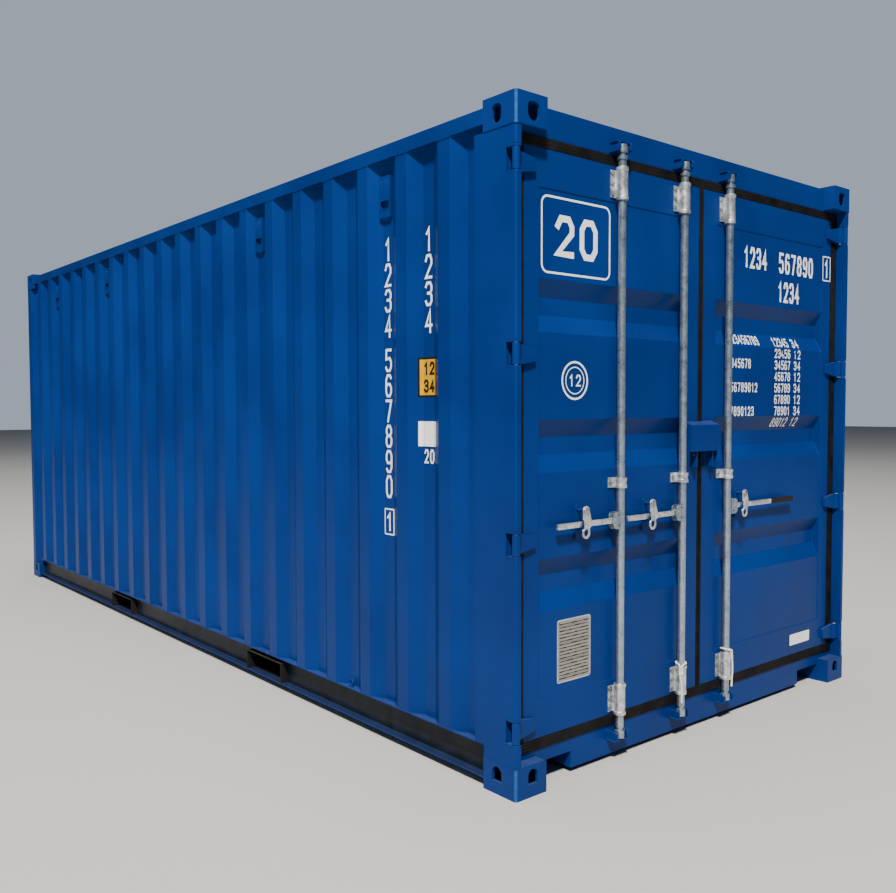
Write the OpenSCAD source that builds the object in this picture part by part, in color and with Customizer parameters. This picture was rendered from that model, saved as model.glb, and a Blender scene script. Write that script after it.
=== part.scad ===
// A 20 ft dry freight container with two end doors.
// Millimetres. X runs along the length towards the doors, Y across, Z up.
// The origin is the middle of the rectangle that the four lower castings stand on.
// The left door, seen from outside, is at -Y and the right door at +Y.

/* [Outside] */
// Length over the corner castings
box_l = 6058; // [5800:2:6300]
// Width over the corner castings
box_w = 2438; // [2300:2:2600]
// Height over the corner castings
box_h = 2591; // [2438:1:2896]

/* [Castings] */
// Size of a casting along the container
cast_l = 178; // [174:1:190]
// Size of a casting across the container
cast_w = 162; // [158:1:170]
// Height of a casting
cast_h = 118; // [118:1:125]

/* [Walls] */
// Distance between two ribs of a side wall
side_pitch = 280; // [276:1:282]
// Depth of a side wall's ribs
side_depth = 36; // [24:1:38]
// Distance between two ribs of the front wall
front_pitch = 250; // [230:1:260]
// Depth of the front wall's ribs
front_depth = 45.6; // [30:0.1:46]
// Distance between two ribs of the roof
roof_pitch = 209; // [195:1:240]
// Height of the roof's ribs
roof_rib_h = 16; // [8:1:18]

/* [Doors] */
// Height of the door panels' lowest edge above the ground
leaf_z0 = 188; // [186:1:200]
// Depth of the pressed troughs in the door panels
trough_depth = 36; // [20:1:38]
// Height of the middle handle line above the ground
handle_z = 996; // [950:1:1040]
// Outside diameter of a locking bar
bar_d = 34; // [30:1:35]

/* [Base] */
// Width of a fork pocket
pocket_w = 360; // [340:1:380]
// Distance between the middles of the two fork pockets
pocket_gap = 2050; // [2000:1:2080]
// Distance of the pockets' middle from the container's middle, towards the doors
pocket_off = 80; // [60:1:100]
// Thickness of the plywood floor
floor_t = 28; // [24:1:30]

/* [Hidden] */
// Facets of drawn circles
$fn = 48;

// Finishes
blue = [0.0, 0.29, 0.56];
zinc = [0.72, 0.73, 0.72];
black = [0.07, 0.07, 0.07];
wood = [0.66, 0.45, 0.30];
white = [0.90, 0.88, 0.82];

// Common gap where a piece is seated against its neighbour
seat = 0.3;
// Far enough to cut right through whatever it is used on
through = 10;

// Outside planes
end_x = box_l / 2;
side_y = box_w / 2;
// How far posts and rails stand back from the castings' faces
set_back = 3;
post_t = 6;

// Castings
cast_wall = 12;
cast_foot_t = 28.5;
cast_cap_t = 12;
cast_round = 14;
slot_l = 124.5;
slot_w = 63.5;
// Middle of every hole from the container's end and side faces
hole_from_end = 102.5;
hole_from_side = 89.5;

// Heights
rail_z0 = 36;
rail_z1 = 168;
rail_t = 4.5;
floor_z1 = 170;
floor_z0 = floor_z1 - floor_t;
top_rail_h = 60;
top_rail_z1 = box_h - 26;
top_rail_z0 = top_rail_z1 - top_rail_h;
post_z0 = cast_h;
post_z1 = box_h - cast_h;
sill_z0 = 21;
sill_z1 = 166;
// How far the door sill and header reach back from their outer face
sill_depth = 100;
header_z0 = box_h - 139;
header_z1 = box_h - 11;

// Side walls
sheet = 2;
wall_y = side_y - 5.4;
rib_y = wall_y - side_depth;
rib_flat = 35;
rib_half = 103;
last_rib_x = end_x - 272;
rail_in_y = rib_y - 10.1;
rail_web_t = 4.5;

// Rear posts
rear_edge_x = end_x - 229;
jbar_x0 = end_x - cast_l;
frame_x = end_x - 61;
jbar_y = side_y - 49;
jbar_web = 12;
nose_y = side_y - 31;

// Front posts
front_edge_x = -(end_x - 76);
front_leg_y = side_y - 88;
front_x = -(end_x - 11);
// As many side ribs as fit behind the front posts
rib_count = floor((last_rib_x - front_edge_x - rib_half - 4) / side_pitch) + 1;

// Doors
face_x = end_x - 55;
leaf_t = 50;
leaf_z1 = box_h - 167;
leaf_hinge_y = side_y - 93;
left_free_y = 38;
right_free_y = -2;
leaf_rail_h = 143;
stile_w = 80;
free_stile_w = 98;
tube_t = 3;
panel_x = face_x - 3;
trough_half = 102;
trough_slope = 68;
trough_pitch = 535;
leaf_mid_z = (leaf_z0 + leaf_z1) / 2;

// Hinges
pin_x = end_x - 18;
pin_y = side_y - 18;
pin_r = 8;
barrel_r = 15;
barrel_half = 40;
lug_t = 10;
lug_gap = 2;
hinge_cut_x = end_x - 57;
hinge_cut_half = barrel_half + lug_gap + lug_t;
hinge_step = (leaf_z1 - leaf_z0 - 136) / 3;
hinge_zs = [for (k = [-1.5:1:1.5]) leaf_mid_z - 6 + hinge_step * k];
blade_tip_t = 15;
blade_root_t = 18;
blade_tip_y = pin_y - 126;

// Gaskets
lip_t = 5;
lip_gap = 1;
lip_x = frame_x + lip_gap;
lip_over = 43;
seam_gap = 6;

// Locking bars
bar_x = face_x + 28;
bar_r = bar_d / 2;
left_bars = [600, 184];
right_bars = [158];
top_bracket_z = leaf_z1 - 72.5;
top_bracket_half = 55;
guide_z = handle_z + 151;
guide_half = 21;
low_bracket_z = leaf_z0 + 67;
low_bracket_half = 54;
plate_out = 43;
guide_out = 47;
sleeve_gap = 0.5;
sleeve_r = bar_r + 6;
rim_r = bar_r + 8.5;
// How far a long sleeve reaches past its plate, at each end
sleeve_more = 10;
sleeve_top = low_bracket_z + low_bracket_half + sleeve_more;
cam_half = 15;
cam_z_top = header_z0 + 39;
cam_z_low = 109;
cam_hub_r = 20;
cam_reach = 27;
cam_w = 14;
keeper_in = 33;
keeper_t = 6;
keeper_foot = 45;
keeper_nose = 25;
keeper_up = 11;

// Handles
pivot_off = 45;
handle_t = 11;
handle_half = 11;
root_r = 14;
handle_x = bar_x + 1.5;
cheek_t = 5;
cheek_half = 35;
cheek_out = 62;
cheek_gap = 3;
hinge_pin_r = 6;
left_handle_l = 374;
right_handle_l = 366;
grip_l = 199;
left_keep_off = 231;
right_keep_off = 114;
catch_up = 54;
catch_z = handle_z + catch_up;
catch_t = 5;
catch_x = handle_x + handle_t / 2 + 10;
catch_pin_r = 4;
catch_top_r = 19;
catch_ring_r = 22;
catch_ring_hole = 12;

// Lock box
box_y0 = -150;
box_y1 = 62;
lock_z0 = 1258;
lock_z1 = 1393;
cheek_z0 = 1180;
lock_x1 = face_x + 50;
lock_t = 4;

// Fork pockets and cross members
pocket_xs = [pocket_off - pocket_gap / 2, pocket_off + pocket_gap / 2];
pocket_z0 = rail_z0 + rail_t;
pocket_top_t = 3;
pocket_side_t = 4;
pocket_half = pocket_w / 2;
member_h = floor_z0 - rail_z0;
member_w = 45;
member_t = 4;
member_end = end_x - cast_l - 60;

// Vents
vent_ribs = [3, 7, rib_count - 6, rib_count - 2];
vent_back_w = 68;
vent_front_w = 78;
vent_h = 176;
vent_d = 18;
vent_z1 = top_rail_z0 - 61;
vent_lip = 24;
vent_mouth = 46;

// Ropes
rope_r = 4.2;
rope_sides = 10;
// Points along each rope, from its bound end round the bar to its tail: distance from the bar's
// axis, bearing, height over the sleeve's top
rope_over = rim_r + rope_r + 0.5;
rope_wrap = bar_r + rope_r + 0.4;
// The bend over the sleeve's rim; bearings count from the upright strand
rope_bend = [[rope_over, 0, 0.5], [rope_over - 0.6, 2.5, 3.6], [rope_over - 2.3, 6.5, 6.2],
    [rope_over - 4.8, 15.5, 7.9], [rope_over - 7.2, 28, 8.6]];
function bent(start, way) = [for (p = rope_bend) [p[0], start + way * p[1], p[2]]];
function reversed(list) = [for (i = [len(list) - 1:-1:0]) list[i]];
left_rope = concat(
    [for (h = [-38, -25, -12]) [rope_over, -43, h]], bent(-43, 1),
    [for (k = [0:12]) [rope_wrap, 21 * k, 8.8 + 2 * sin(15 * k)]],
    reversed(bent(298, -1)),
    [[rope_over, 298, -12], [rope_over, 298, -25], [rope_over, 299, -38],
        [rope_over, 306, -60], [rope_over, 312, -84], [rope_over, 315, -108],
        [rope_over + 0.5, 314, -132], [rope_over, 315, -160]]);
right_rope = concat(
    [for (h = [-34, -23, -12]) [rope_over, 75, h]], bent(75, 1),
    [for (k = [0:12]) [rope_wrap, 118 + 21 * k, 8.8 + 9 * sin(180 * pow(k / 12, 1.5))]],
    reversed(bent(412, -1)),
    [[rope_over, 412, -12], [rope_over + 1, 412, -34], [rope_over + 3, 414, -60],
        [rope_over + 4, 417, -88], [rope_over + 3.5, 420, -116], [rope_over + 3, 423, -144],
        [rope_over + 3, 425, -166]]);

// Helpers

// A box between two corners
module span(a, b) {
    translate(a) cube(b - a);
}

// Copies for the +Y side of what is drawn at -Y
module both_sides() {
    children();
    mirror([0, 1, 0]) children();
}

module right_side() {
    mirror([0, 1, 0]) children();
}

// Cylinder along X between two places
module rod_x(x0, x1, y, z, r) {
    translate([x0, y, z]) rotate([0, 90, 0]) cylinder(h = x1 - x0, r = r);
}

// Middle of rib number n of a side wall, counted from the front
function rib_x(n) = last_rib_x - side_pitch * (rib_count - n);

// A closed tray shape: its mouth is w x h and it narrows by slope on all sides over depth d.
// The mouth lies in the YZ plane at x = 0 and the tray goes towards -X.
module tray(w, h, slope, d, more = 1) {
    grow = slope * more / d;
    intersection() {
        translate([0, -w, 0]) rotate([-90, 0, 0]) linear_extrude(2 * w)
            polygon([[-d, -(h / 2 - slope)], [more, -(h / 2 + grow)],
                [more, h / 2 + grow], [-d, h / 2 - slope]]);
        translate([0, 0, -h]) linear_extrude(2 * h)
            polygon([[-d, -(w / 2 - slope)], [more, -(w / 2 + grow)],
                [more, w / 2 + grow], [-d, w / 2 - slope]]);
    }
}

// A square with one rounded corner at the origin side
module one_round(l, w, r) {
    translate([r, 0]) square([l - r, w]);
    translate([0, r]) square([l, w - r]);
    translate([r, r]) circle(r);
}

// Rounded-end slot centred on the origin, long along X
module stadium(l, w) {
    square([l - w, w], center = true);
    for (s = [-1, 1]) translate([s * (l - w) / 2, 0]) circle(w / 2);
}

// An arch, round at the top and with rounded feet, standing on the origin
module arch(w, h, foot_r) {
    translate([-w / 2, foot_r]) square([w, h - w / 2 - foot_r]);
    translate([0, h - w / 2]) circle(w / 2);
    translate([-w / 2 + foot_r, 0]) square([w - 2 * foot_r, 2 * foot_r]);
    for (side = [-1, 1]) translate([side * (w / 2 - foot_r), foot_r]) circle(foot_r);
}

// Corner castings

// One lower casting with its outer corner at the origin, reaching to +X and +Y
module casting(arch_z, arch_h, side_w, end_w, foot_r) {
    difference() {
        linear_extrude(cast_h) one_round(cast_l, cast_w, cast_round);
        span([cast_wall, cast_wall, cast_foot_t],
            [cast_l - cast_wall, cast_w - cast_wall, cast_h - cast_cap_t]);
        translate([hole_from_end, hole_from_side, -through])
            linear_extrude(cast_foot_t + 2 * through) stadium(slot_l, slot_w);
        translate([hole_from_end, cast_wall + 1, arch_z]) rotate([90, 0, 0])
            linear_extrude(cast_wall + through) arch(side_w, arch_h, foot_r);
        translate([-through, hole_from_side, arch_z]) rotate([90, 0, 90])
            linear_extrude(cast_wall + through + 1) arch(end_w, arch_h, foot_r);
    }
}

module four_corners(ends = [0, 1]) {
    for (a = ends, b = [0, 1])
        mirror([a, 0, 0]) mirror([0, b, 0]) translate([-end_x, -side_y, 0]) children();
}

module bottom_castings() {
    color(blue) four_corners() casting(49, 57, 50, 48, 4);
}

module top_casting_pair(end) {
    translate([0, 0, box_h]) mirror([0, 0, 1]) four_corners([end]) casting(29, 70, 50, 60, 20);
}

module front_top_castings() {
    color(blue) top_casting_pair(0);
}

module door_top_castings() {
    color(blue) top_casting_pair(1);
}

// Rear corner posts: a folded outer plate round a heavy channel
module rear_post_section() {
    y0 = -(side_y - set_back);
    x1 = end_x - set_back;
    round_r = 10;
    // side plate, its inward fold and the plate beside the door
    translate([rear_edge_x, y0]) square([x1 - round_r - rear_edge_x, post_t]);
    translate([rear_edge_x, y0]) square([post_t, -rib_y - 0.4 - y0]);
    translate([frame_x - 4, -nose_y - post_t]) square([x1 - frame_x + 4, post_t]);
    translate([x1 - post_t, y0 + round_r]) square([post_t, -nose_y - y0 - round_r]);
    // rounded outer corner
    intersection() {
        translate([x1 - round_r, y0]) square(round_r);
        difference() {
            translate([x1 - round_r, y0 + round_r]) circle(round_r);
            translate([x1 - round_r, y0 + round_r]) circle(round_r - post_t);
        }
    }
    // inner channel
    difference() {
        translate([jbar_x0, y0 + post_t]) square([frame_x - jbar_x0, -jbar_y - y0 - post_t]);
        translate([jbar_x0 + jbar_web, y0 + post_t - 1])
            square([frame_x - jbar_x0 - 2 * jbar_web, -jbar_y - jbar_web - y0 - post_t + 1]);
    }
}

module rear_corner_posts() {
    color(blue) both_sides() difference() {
        translate([0, 0, post_z0]) linear_extrude(post_z1 - post_z0) rear_post_section();
        for (z = hinge_zs)
            span([hinge_cut_x, -side_y - through, z - hinge_cut_half],
                [end_x + through, -nose_y + 4, z + hinge_cut_half]);
        span([rear_edge_x - 1, -side_y, 0], [jbar_x0, -jbar_y, rail_z1 + seat]);
    }
}

// Lugs that close the post's nose over and under each hinge barrel
module hinge_lugs() {
    y0 = -(side_y - set_back);
    x1 = end_x - set_back;
    color(blue) both_sides() for (z = hinge_zs, s = [-1, 1])
        translate([0, 0, z + s * (barrel_half + lug_gap + lug_t / 2) - lug_t / 2])
        linear_extrude(lug_t) difference() {
            union() {
                translate([hinge_cut_x, y0]) square([pin_x - hinge_cut_x, -nose_y - y0]);
                translate([pin_x, y0 + 15]) square([x1 - pin_x, -nose_y - y0 - 15]);
                translate([pin_x, -pin_y]) circle(barrel_r);
            }
            translate([pin_x, -pin_y]) circle(pin_r + seat);
        }
}

module hinge_pins() {
    reach = hinge_cut_half - seat;
    color(zinc) both_sides() for (z = hinge_zs)
        translate([pin_x, -pin_y, z - reach]) cylinder(h = 2 * reach, r = pin_r);
}

// Front corner posts: one folded plate
module front_corner_posts() {
    y0 = -(side_y - set_back);
    x0 = -(end_x - set_back);
    fold = 46;
    color(blue) both_sides() translate([0, 0, post_z0]) linear_extrude(post_z1 - post_z0) {
        translate([x0, y0]) square([front_edge_x - x0, post_t]);
        translate([front_edge_x - post_t, y0]) square([post_t, -rib_y - y0]);
        translate([x0, y0]) square([post_t, -front_leg_y - y0]);
        translate([x0, -front_leg_y - post_t]) square([fold, post_t]);
    }
}

// Base

// Channel between the lower castings, open to the outside, cut through for the forks
module bottom_rail() {
    x1 = end_x - cast_l;
    web_y = -rail_in_y;
    difference() {
        union() {
            span([-x1, web_y - rail_web_t, rail_z0], [x1, web_y, rail_z1]);
            for (z = [rail_z0, rail_z1 - rail_t])
                span([-x1, -wall_y, z], [x1, web_y, z + rail_t]);
        }
        for (x = pocket_xs)
            span([x - pocket_half - pocket_side_t - seat, web_y - through, pocket_z0],
                [x + pocket_half + pocket_side_t + seat, web_y + through, floor_z0 - seat]);
    }
}

module bottom_rail_left() {
    color(blue) bottom_rail();
}

module bottom_rail_right() {
    color(blue) right_side() bottom_rail();
}

// Places of the cross members: beside the pockets and evenly between them
member_beside = pocket_half + pocket_side_t + seat + member_w / 2;
member_front = [for (k = [0:5]) -member_end + k * (pocket_xs[0] - member_beside + member_end) / 6];
member_mid = [for (k = [1:5]) pocket_xs[0] + member_beside
    + k * (pocket_gap - 2 * member_beside) / 6];
member_rear = [for (k = [1:5]) pocket_xs[1] + member_beside
    + k * (member_end - pocket_xs[1] - member_beside) / 5];
member_pockets = [for (x = pocket_xs, s = [-1, 1]) x + s * member_beside];
member_xs = concat(member_front, member_mid, member_rear, member_pockets);

module cross_members() {
    half = rail_in_y - rail_web_t - seat;
    color(blue) for (x = member_xs) translate([x - member_w / 2, -half, rail_z0]) difference() {
        cube([member_w, 2 * half, member_h]);
        translate([member_t, -1, member_t])
            cube([member_w, 2 * half + 2, member_h - 2 * member_t]);
    }
}

// Fork tunnels: a folded cover, with straps across the mouths below
module fork_pockets() {
    strap_w = 200;
    half_y = wall_y - 1;
    in_y = rail_in_y - rail_web_t - seat;
    outer = pocket_half + pocket_side_t;
    color(blue) for (x = pocket_xs) translate([x, 0, 0]) {
        difference() {
            span([-outer, -half_y, pocket_z0 + seat], [outer, half_y, floor_z0 - 2 * seat]);
            span([-pocket_half, -half_y - 1, 0],
                [pocket_half, half_y + 1, floor_z0 - 2 * seat - pocket_top_t]);
        }
        for (s = [-1, 1])
            span([-outer, s * (in_y - strap_w / 2) - strap_w / 2, rail_z0],
                [outer, s * (in_y - strap_w / 2) + strap_w / 2, pocket_z0 + seat]);
    }
}

module floor_boards() {
    x0 = front_x + front_depth + sheet + seat;
    x1 = frame_x - sill_depth - seat;
    half = rail_in_y - rail_web_t - seat;
    color(wood) both_sides()
        span([x0, -half, floor_z0], [x1, -25 - seat, floor_z1]);
}

// Steel strip that the floor boards meet on, folded down at both edges
module floor_center_rail() {
    x0 = front_x + front_depth + sheet + seat;
    x1 = frame_x - sill_depth - seat;
    color(blue) difference() {
        span([x0, -25, floor_z0], [x1, 25, floor_z1]);
        span([x0 - 1, -21, floor_z0 - 1], [x1 + 1, 21, floor_z1 - 4]);
    }
}

// End frames

module front_sill() {
    in_y = side_y - cast_w;
    x1 = front_x + front_depth + sheet;
    color(blue) difference() {
        union() {
            span([front_x, -in_y, sill_z0], [x1, in_y, sill_z1]);
            span([front_x, -front_leg_y, post_z0], [x1, front_leg_y, sill_z1]);
        }
        span([front_x + 4, -in_y - 1, sill_z0 + 4], [x1 + 1, in_y + 1, sill_z1 - 4]);
    }
}

module front_header() {
    in_y = side_y - cast_w;
    color(blue) difference() {
        span([front_x, -in_y, header_z1 - 60], [front_x + 60, in_y, header_z1]);
        span([front_x + 3, -in_y - 1, header_z1 - 57], [front_x + 57, in_y + 1, header_z1 - 3]);
    }
}

// Door sill with an open recess beside each casting
module door_sill() {
    in_y = side_y - cast_w;
    x0 = frame_x - sill_depth;
    wall = 5;
    notch_w = 200;
    notch_z1 = 89;
    color(blue) difference() {
        union() {
            difference() {
                union() {
                    span([x0, -in_y, sill_z0], [frame_x, in_y, sill_z1]);
                    span([x0, -jbar_y, cast_h], [frame_x, jbar_y, sill_z1]);
                }
                span([x0 + wall, -in_y - 1, sill_z0 + wall],
                    [frame_x - wall, in_y + 1, sill_z1 - wall]);
            }
            both_sides() span([x0, -in_y, sill_z0],
                [frame_x, -in_y + notch_w + wall, notch_z1 + wall]);
        }
        both_sides() span([x0 - 1, -in_y - 1, 0], [frame_x + 1, -in_y + notch_w, notch_z1]);
    }
}

module door_header() {
    in_y = side_y - cast_w;
    x0 = frame_x - sill_depth;
    wall = 4;
    color(blue) difference() {
        union() {
            span([x0, -in_y, header_z0], [frame_x, in_y, header_z1]);
            span([x0, -jbar_y, header_z0], [frame_x, jbar_y, post_z1]);
        }
        span([x0 + wall, -in_y - 1, post_z1 + wall], [frame_x - wall, in_y + 1, header_z1 - wall]);
    }
}

module top_rails() {
    x1 = end_x - cast_l;
    y0 = -(side_y - set_back);
    wall = 3;
    color(blue) both_sides() difference() {
        span([-x1, y0, top_rail_z0], [x1, y0 + top_rail_h, top_rail_z1]);
        span([-x1 - 1, y0 + wall, top_rail_z0 + wall],
            [x1 + 1, y0 + top_rail_h - wall, top_rail_z1 - wall]);
    }
}

// Walls and roof

// Space left between two sheets for their butt weld
butt_gap = 0.4;

// Outline of a side wall's sheet from above, at -Y
function side_wall_line(off) = concat(
    [[front_edge_x + seat, -wall_y + off]],
    [for (n = [1:rib_count], k = [0:3])
        let (dx = [-rib_half, -rib_flat, rib_flat, rib_half][k])
        let (deep = (k == 1 || k == 2) ? side_depth : 0)
        if (!(n == rib_count && k == 3)) [rib_x(n) + dx, -wall_y + deep + off]],
    [[jbar_x0 - seat, -rib_y + off]]);

// Long sheet between the rails, and a narrow end sheet between two castings, butt welded to it
module side_wall() {
    casting_x = -(end_x - cast_l);
    difference() {
        translate([0, 0, rail_z1]) linear_extrude(top_rail_z0 - rail_z1) side_wall_section();
        span([-end_x, -side_y, 0], [casting_x, -jbar_y + through, box_h]);
    }
    difference() {
        translate([0, 0, cast_h]) linear_extrude(post_z1 - cast_h) side_wall_section();
        span([casting_x - butt_gap, -side_y, 0], [end_x, -jbar_y + through, box_h]);
    }
}

module side_wall_section() {
    polygon(concat(side_wall_line(0), reversed(side_wall_line(sheet))));
}

module side_wall_left() {
    color(blue) side_wall();
}

module side_wall_right() {
    color(blue) right_side() side_wall();
}

// Outline of the front wall's sheet from above
front_ribs = floor((2 * front_leg_y - 60) / front_pitch);
front_outer = 110;
front_slope = 18;
function front_wall_line(off) = concat(
    [[front_x + off, -front_leg_y]],
    [for (n = [0:front_ribs - 1], k = [0:3])
        let (mid = (n - (front_ribs - 1) / 2) * front_pitch)
        let (flat = (front_pitch - front_outer) / 2 - front_slope)
        let (dy = [-flat - front_slope, -flat, flat, flat + front_slope][k])
        [front_x + ((k == 1 || k == 2) ? front_depth : 0) + off, mid + dy]],
    [[front_x + off, front_leg_y]]);

module front_wall() {
    in_y = side_y - cast_w;
    x1 = front_x + front_depth + through;
    color(blue) difference() {
        translate([0, 0, sill_z1]) linear_extrude(header_z1 - 60 - sill_z1)
            front_wall_section();
        both_sides() span([-end_x, -side_y, 0], [x1, -in_y, box_h]);
    }
    color(blue) difference() {
        translate([0, 0, sill_z1]) linear_extrude(post_z1 - sill_z1) front_wall_section();
        span([-end_x, -in_y - butt_gap, 0], [x1, in_y + butt_gap, box_h]);
    }
}

module front_wall_section() {
    polygon(concat(front_wall_line(0), reversed(front_wall_line(sheet))));
}

// Roof sheet with closed ribs pressed up across it
module roof() {
    x0 = front_x + 60;
    x1 = frame_x - sill_depth;
    half = side_y - set_back - 6;
    count = floor((x1 - x0 - 150) / roof_pitch);
    rib_l = 2 * (half - 80);
    rib_w = 150;
    slope = 30;
    color(blue) difference() {
        union() {
            difference() {
                span([x0, -half, top_rail_z1], [x1, half, top_rail_z1 + sheet]);
                for (a = [-1, 1], b = [-1, 1])
                    translate([a * (end_x - cast_l / 2), b * (side_y - cast_w / 2), top_rail_z1])
                        cube([cast_l, cast_w, 20], center = true);
            }
            for (k = [0:count - 1])
                translate([(x0 + x1) / 2 + (k - (count - 1) / 2) * roof_pitch, 0,
                    top_rail_z1 + sheet])
                rotate([0, 90, 180]) tray(rib_l, rib_w, slope, roof_rib_h, 1);
        }
        for (k = [0:count - 1])
            translate([(x0 + x1) / 2 + (k - (count - 1) / 2) * roof_pitch, 0, top_rail_z1])
            rotate([0, 90, 180]) tray(rib_l, rib_w, slope, roof_rib_h, 1);
    }
}

// Vents: a hood in a rib, open at the bottom and with a mouth low on its front
module side_vents() {
    wall = 2;
    y1 = -rib_y - seat;
    y0 = -rib_y - vent_d;
    color(blue) both_sides() for (n = vent_ribs)
        translate([rib_x(n), 0, vent_z1 - vent_h]) difference() {
            linear_extrude(vent_h) polygon([[-vent_back_w / 2, y1], [vent_back_w / 2, y1],
                [vent_front_w / 2, y0], [-vent_front_w / 2, y0]]);
            translate([0, 0, -1]) linear_extrude(vent_h - wall + 1)
                polygon([[-vent_back_w / 2 + wall, y1 - wall], [vent_back_w / 2 - wall, y1 - wall],
                    [vent_front_w / 2 - wall, y0 + wall], [-vent_front_w / 2 + wall, y0 + wall]]);
            span([-vent_front_w / 2 + 10, y0 - 1, vent_lip],
                [vent_front_w / 2 - 10, y0 + wall + 1, vent_lip + vent_mouth]);
        }
}

// Rings on the lower rails that the door ropes are tied to
module tie_back_hooks() {
    ring_r = 13;
    wire_r = 4;
    x = rib_x(rib_count - 3);
    y = -rib_y - 18;
    color(blue) both_sides() {
        span([x - 14, y - 6, rail_z1], [x + 14, y + 6, rail_z1 + 6]);
        translate([x, y, rail_z1 + ring_r + wire_r + 3]) rotate([90, 0, 0])
            rotate_extrude() translate([ring_r, 0]) circle(wire_r);
    }
}

// Keepers that the bars' cams turn into: two cheeks on feet, bridged over the bar's end,
// with a nose in front of the cam's wing. Drawn for a bar at y; side is the wing's side in Y.
module keeper(y, z, side) {
    low = -cam_half;
    top = cam_half + keeper_up;
    nose_x0 = bar_x + cam_w / 2 + 5.5;
    nose_x1 = end_x - 6;
    translate([0, y, z]) scale_y(side) {
        for (s = [-1, 1]) scale_y(s) {
            span([frame_x, keeper_in, low], [frame_x + 6, keeper_foot, top]);
            translate([0, keeper_in + keeper_t, 0]) rotate([90, 0, 0]) linear_extrude(keeper_t)
                polygon([[frame_x, low], [nose_x1 - 16, low], [nose_x1, low + 8],
                    [nose_x1, top - 9], [nose_x1 - 9, top], [frame_x, top]]);
        }
        span([nose_x0, keeper_nose, low + 8], [nose_x1, keeper_in + 1, top - 9]);
        span([frame_x, -keeper_foot, top - 5], [nose_x1 - 9, keeper_foot, top]);
    }
}

module scale_y(s) {
    if (s < 0) mirror([0, 1, 0]) children();
    else children();
}

module keepers_at(y, side) {
    keeper(y, cam_z_top, side);
    translate([0, 0, 2 * cam_z_low]) mirror([0, 0, 1]) keeper(y, cam_z_low, side);
}

module cam_keepers() {
    color(blue) {
        for (b = left_bars) keepers_at(-b, 1);
        for (b = right_bars) keepers_at(b, -1);
    }
}

// Door leaves, drawn at -Y from the free edge to the hinge edge

module leaf_frame(free_y) {
    y0 = -leaf_hinge_y;
    y1 = -free_y;
    x0 = face_x - leaf_t;
    mid0 = y0 + stile_w;
    mid1 = y1 - free_stile_w;
    difference() {
        span([x0, y0, leaf_z0], [face_x, mid0, leaf_z1]);
        span([x0 + tube_t, y0 + tube_t, leaf_z0 - 1], [face_x - tube_t, mid0 - tube_t, leaf_z1 + 1]);
    }
    difference() {
        span([x0, mid1, leaf_z0], [face_x, y1, leaf_z1]);
        span([x0 + tube_t, mid1 + tube_t, leaf_z0 - 1], [face_x - tube_t, y1 - tube_t, leaf_z1 + 1]);
    }
    for (z = [leaf_z0, leaf_z1 - leaf_rail_h]) difference() {
        span([x0, mid0, z], [face_x, mid1, z + leaf_rail_h]);
        span([x0 - 1, mid0 - 1, z + tube_t],
            [face_x - tube_t, mid1 + 1, z + leaf_rail_h - tube_t]);
    }
}

// Side view of a panel's sheet, from its lower edge up; off is how far it stands back
function panel_line(off) = concat(
    [[panel_x - off, leaf_z0 + leaf_rail_h]],
    [for (k = [-1, 0, 1], m = [0:3])
        let (dz = [-trough_half, trough_slope - trough_half, trough_half - trough_slope, trough_half][m])
        [panel_x - off - ((m == 1 || m == 2) ? trough_depth : 0), leaf_mid_z + k * trough_pitch + dz]],
    [[panel_x - off, leaf_z1 - leaf_rail_h]]);

// Sheet pressed into three troughs, which the stiles close at their ends
module leaf_panel(free_y) {
    y0 = -leaf_hinge_y + stile_w;
    y1 = -free_y - free_stile_w;
    translate([0, y1, 0]) rotate([90, 0, 0]) linear_extrude(y1 - y0)
        polygon(concat(panel_line(0), reversed(panel_line(sheet))));
}

// Rubber strip round a leaf: a body in the gap and a lip over the frame's face
module leaf_gasket(free_y, seam_y) {
    body_x0 = frame_x - 38;
    side = jbar_y - 10;
    top = header_z0 - 6;
    low = sill_z1 + 6;
    difference() {
        union() {
            span([body_x0, -side, low], [lip_x + 1, -seam_y, top]);
            span([lip_x, -nose_y + 3, leaf_z0 - lip_over - 2],
                [lip_x + lip_t, -seam_y, leaf_z1 + lip_over - 1]);
        }
        span([body_x0 - 1, -leaf_hinge_y, leaf_z0], [face_x + 1, -free_y, leaf_z1]);
    }
}

// Hinge blades: a barrel with a tapered arm welded to the leaf. The arm is slim beside the
// barrel, because the leaf folds right round to the side wall.
module hinge_blade() {
    tip_half = 23;
    difference() {
        union() {
            translate([pin_x, -pin_y, -barrel_half]) cylinder(h = 2 * barrel_half, r = barrel_r);
            intersection() {
                translate([0, 0, -barrel_half]) linear_extrude(2 * barrel_half)
                    polygon([[face_x, -blade_tip_y], [face_x + blade_tip_t, -blade_tip_y],
                        [face_x + blade_root_t, -pin_y + 42], [pin_x - 6, -pin_y + 13],
                        [pin_x, -pin_y], [pin_x - 13, -pin_y + 2], [face_x, -pin_y + 43]]);
                translate([face_x - 1, 0, 0]) rotate([90, 0, 90]) linear_extrude(60)
                    polygon([[-pin_y - 20, -barrel_half], [-pin_y + 30, -barrel_half],
                        [-blade_tip_y, -tip_half], [-blade_tip_y, tip_half],
                        [-pin_y + 30, barrel_half], [-pin_y - 20, barrel_half]]);
            }
        }
        translate([pin_x, -pin_y, -barrel_half - 1])
            cylinder(h = 2 * barrel_half + 2, r = pin_r + 0.1);
    }
}

module hinge_blades() {
    for (z = hinge_zs) translate([0, 0, z]) hinge_blade();
}

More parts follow.
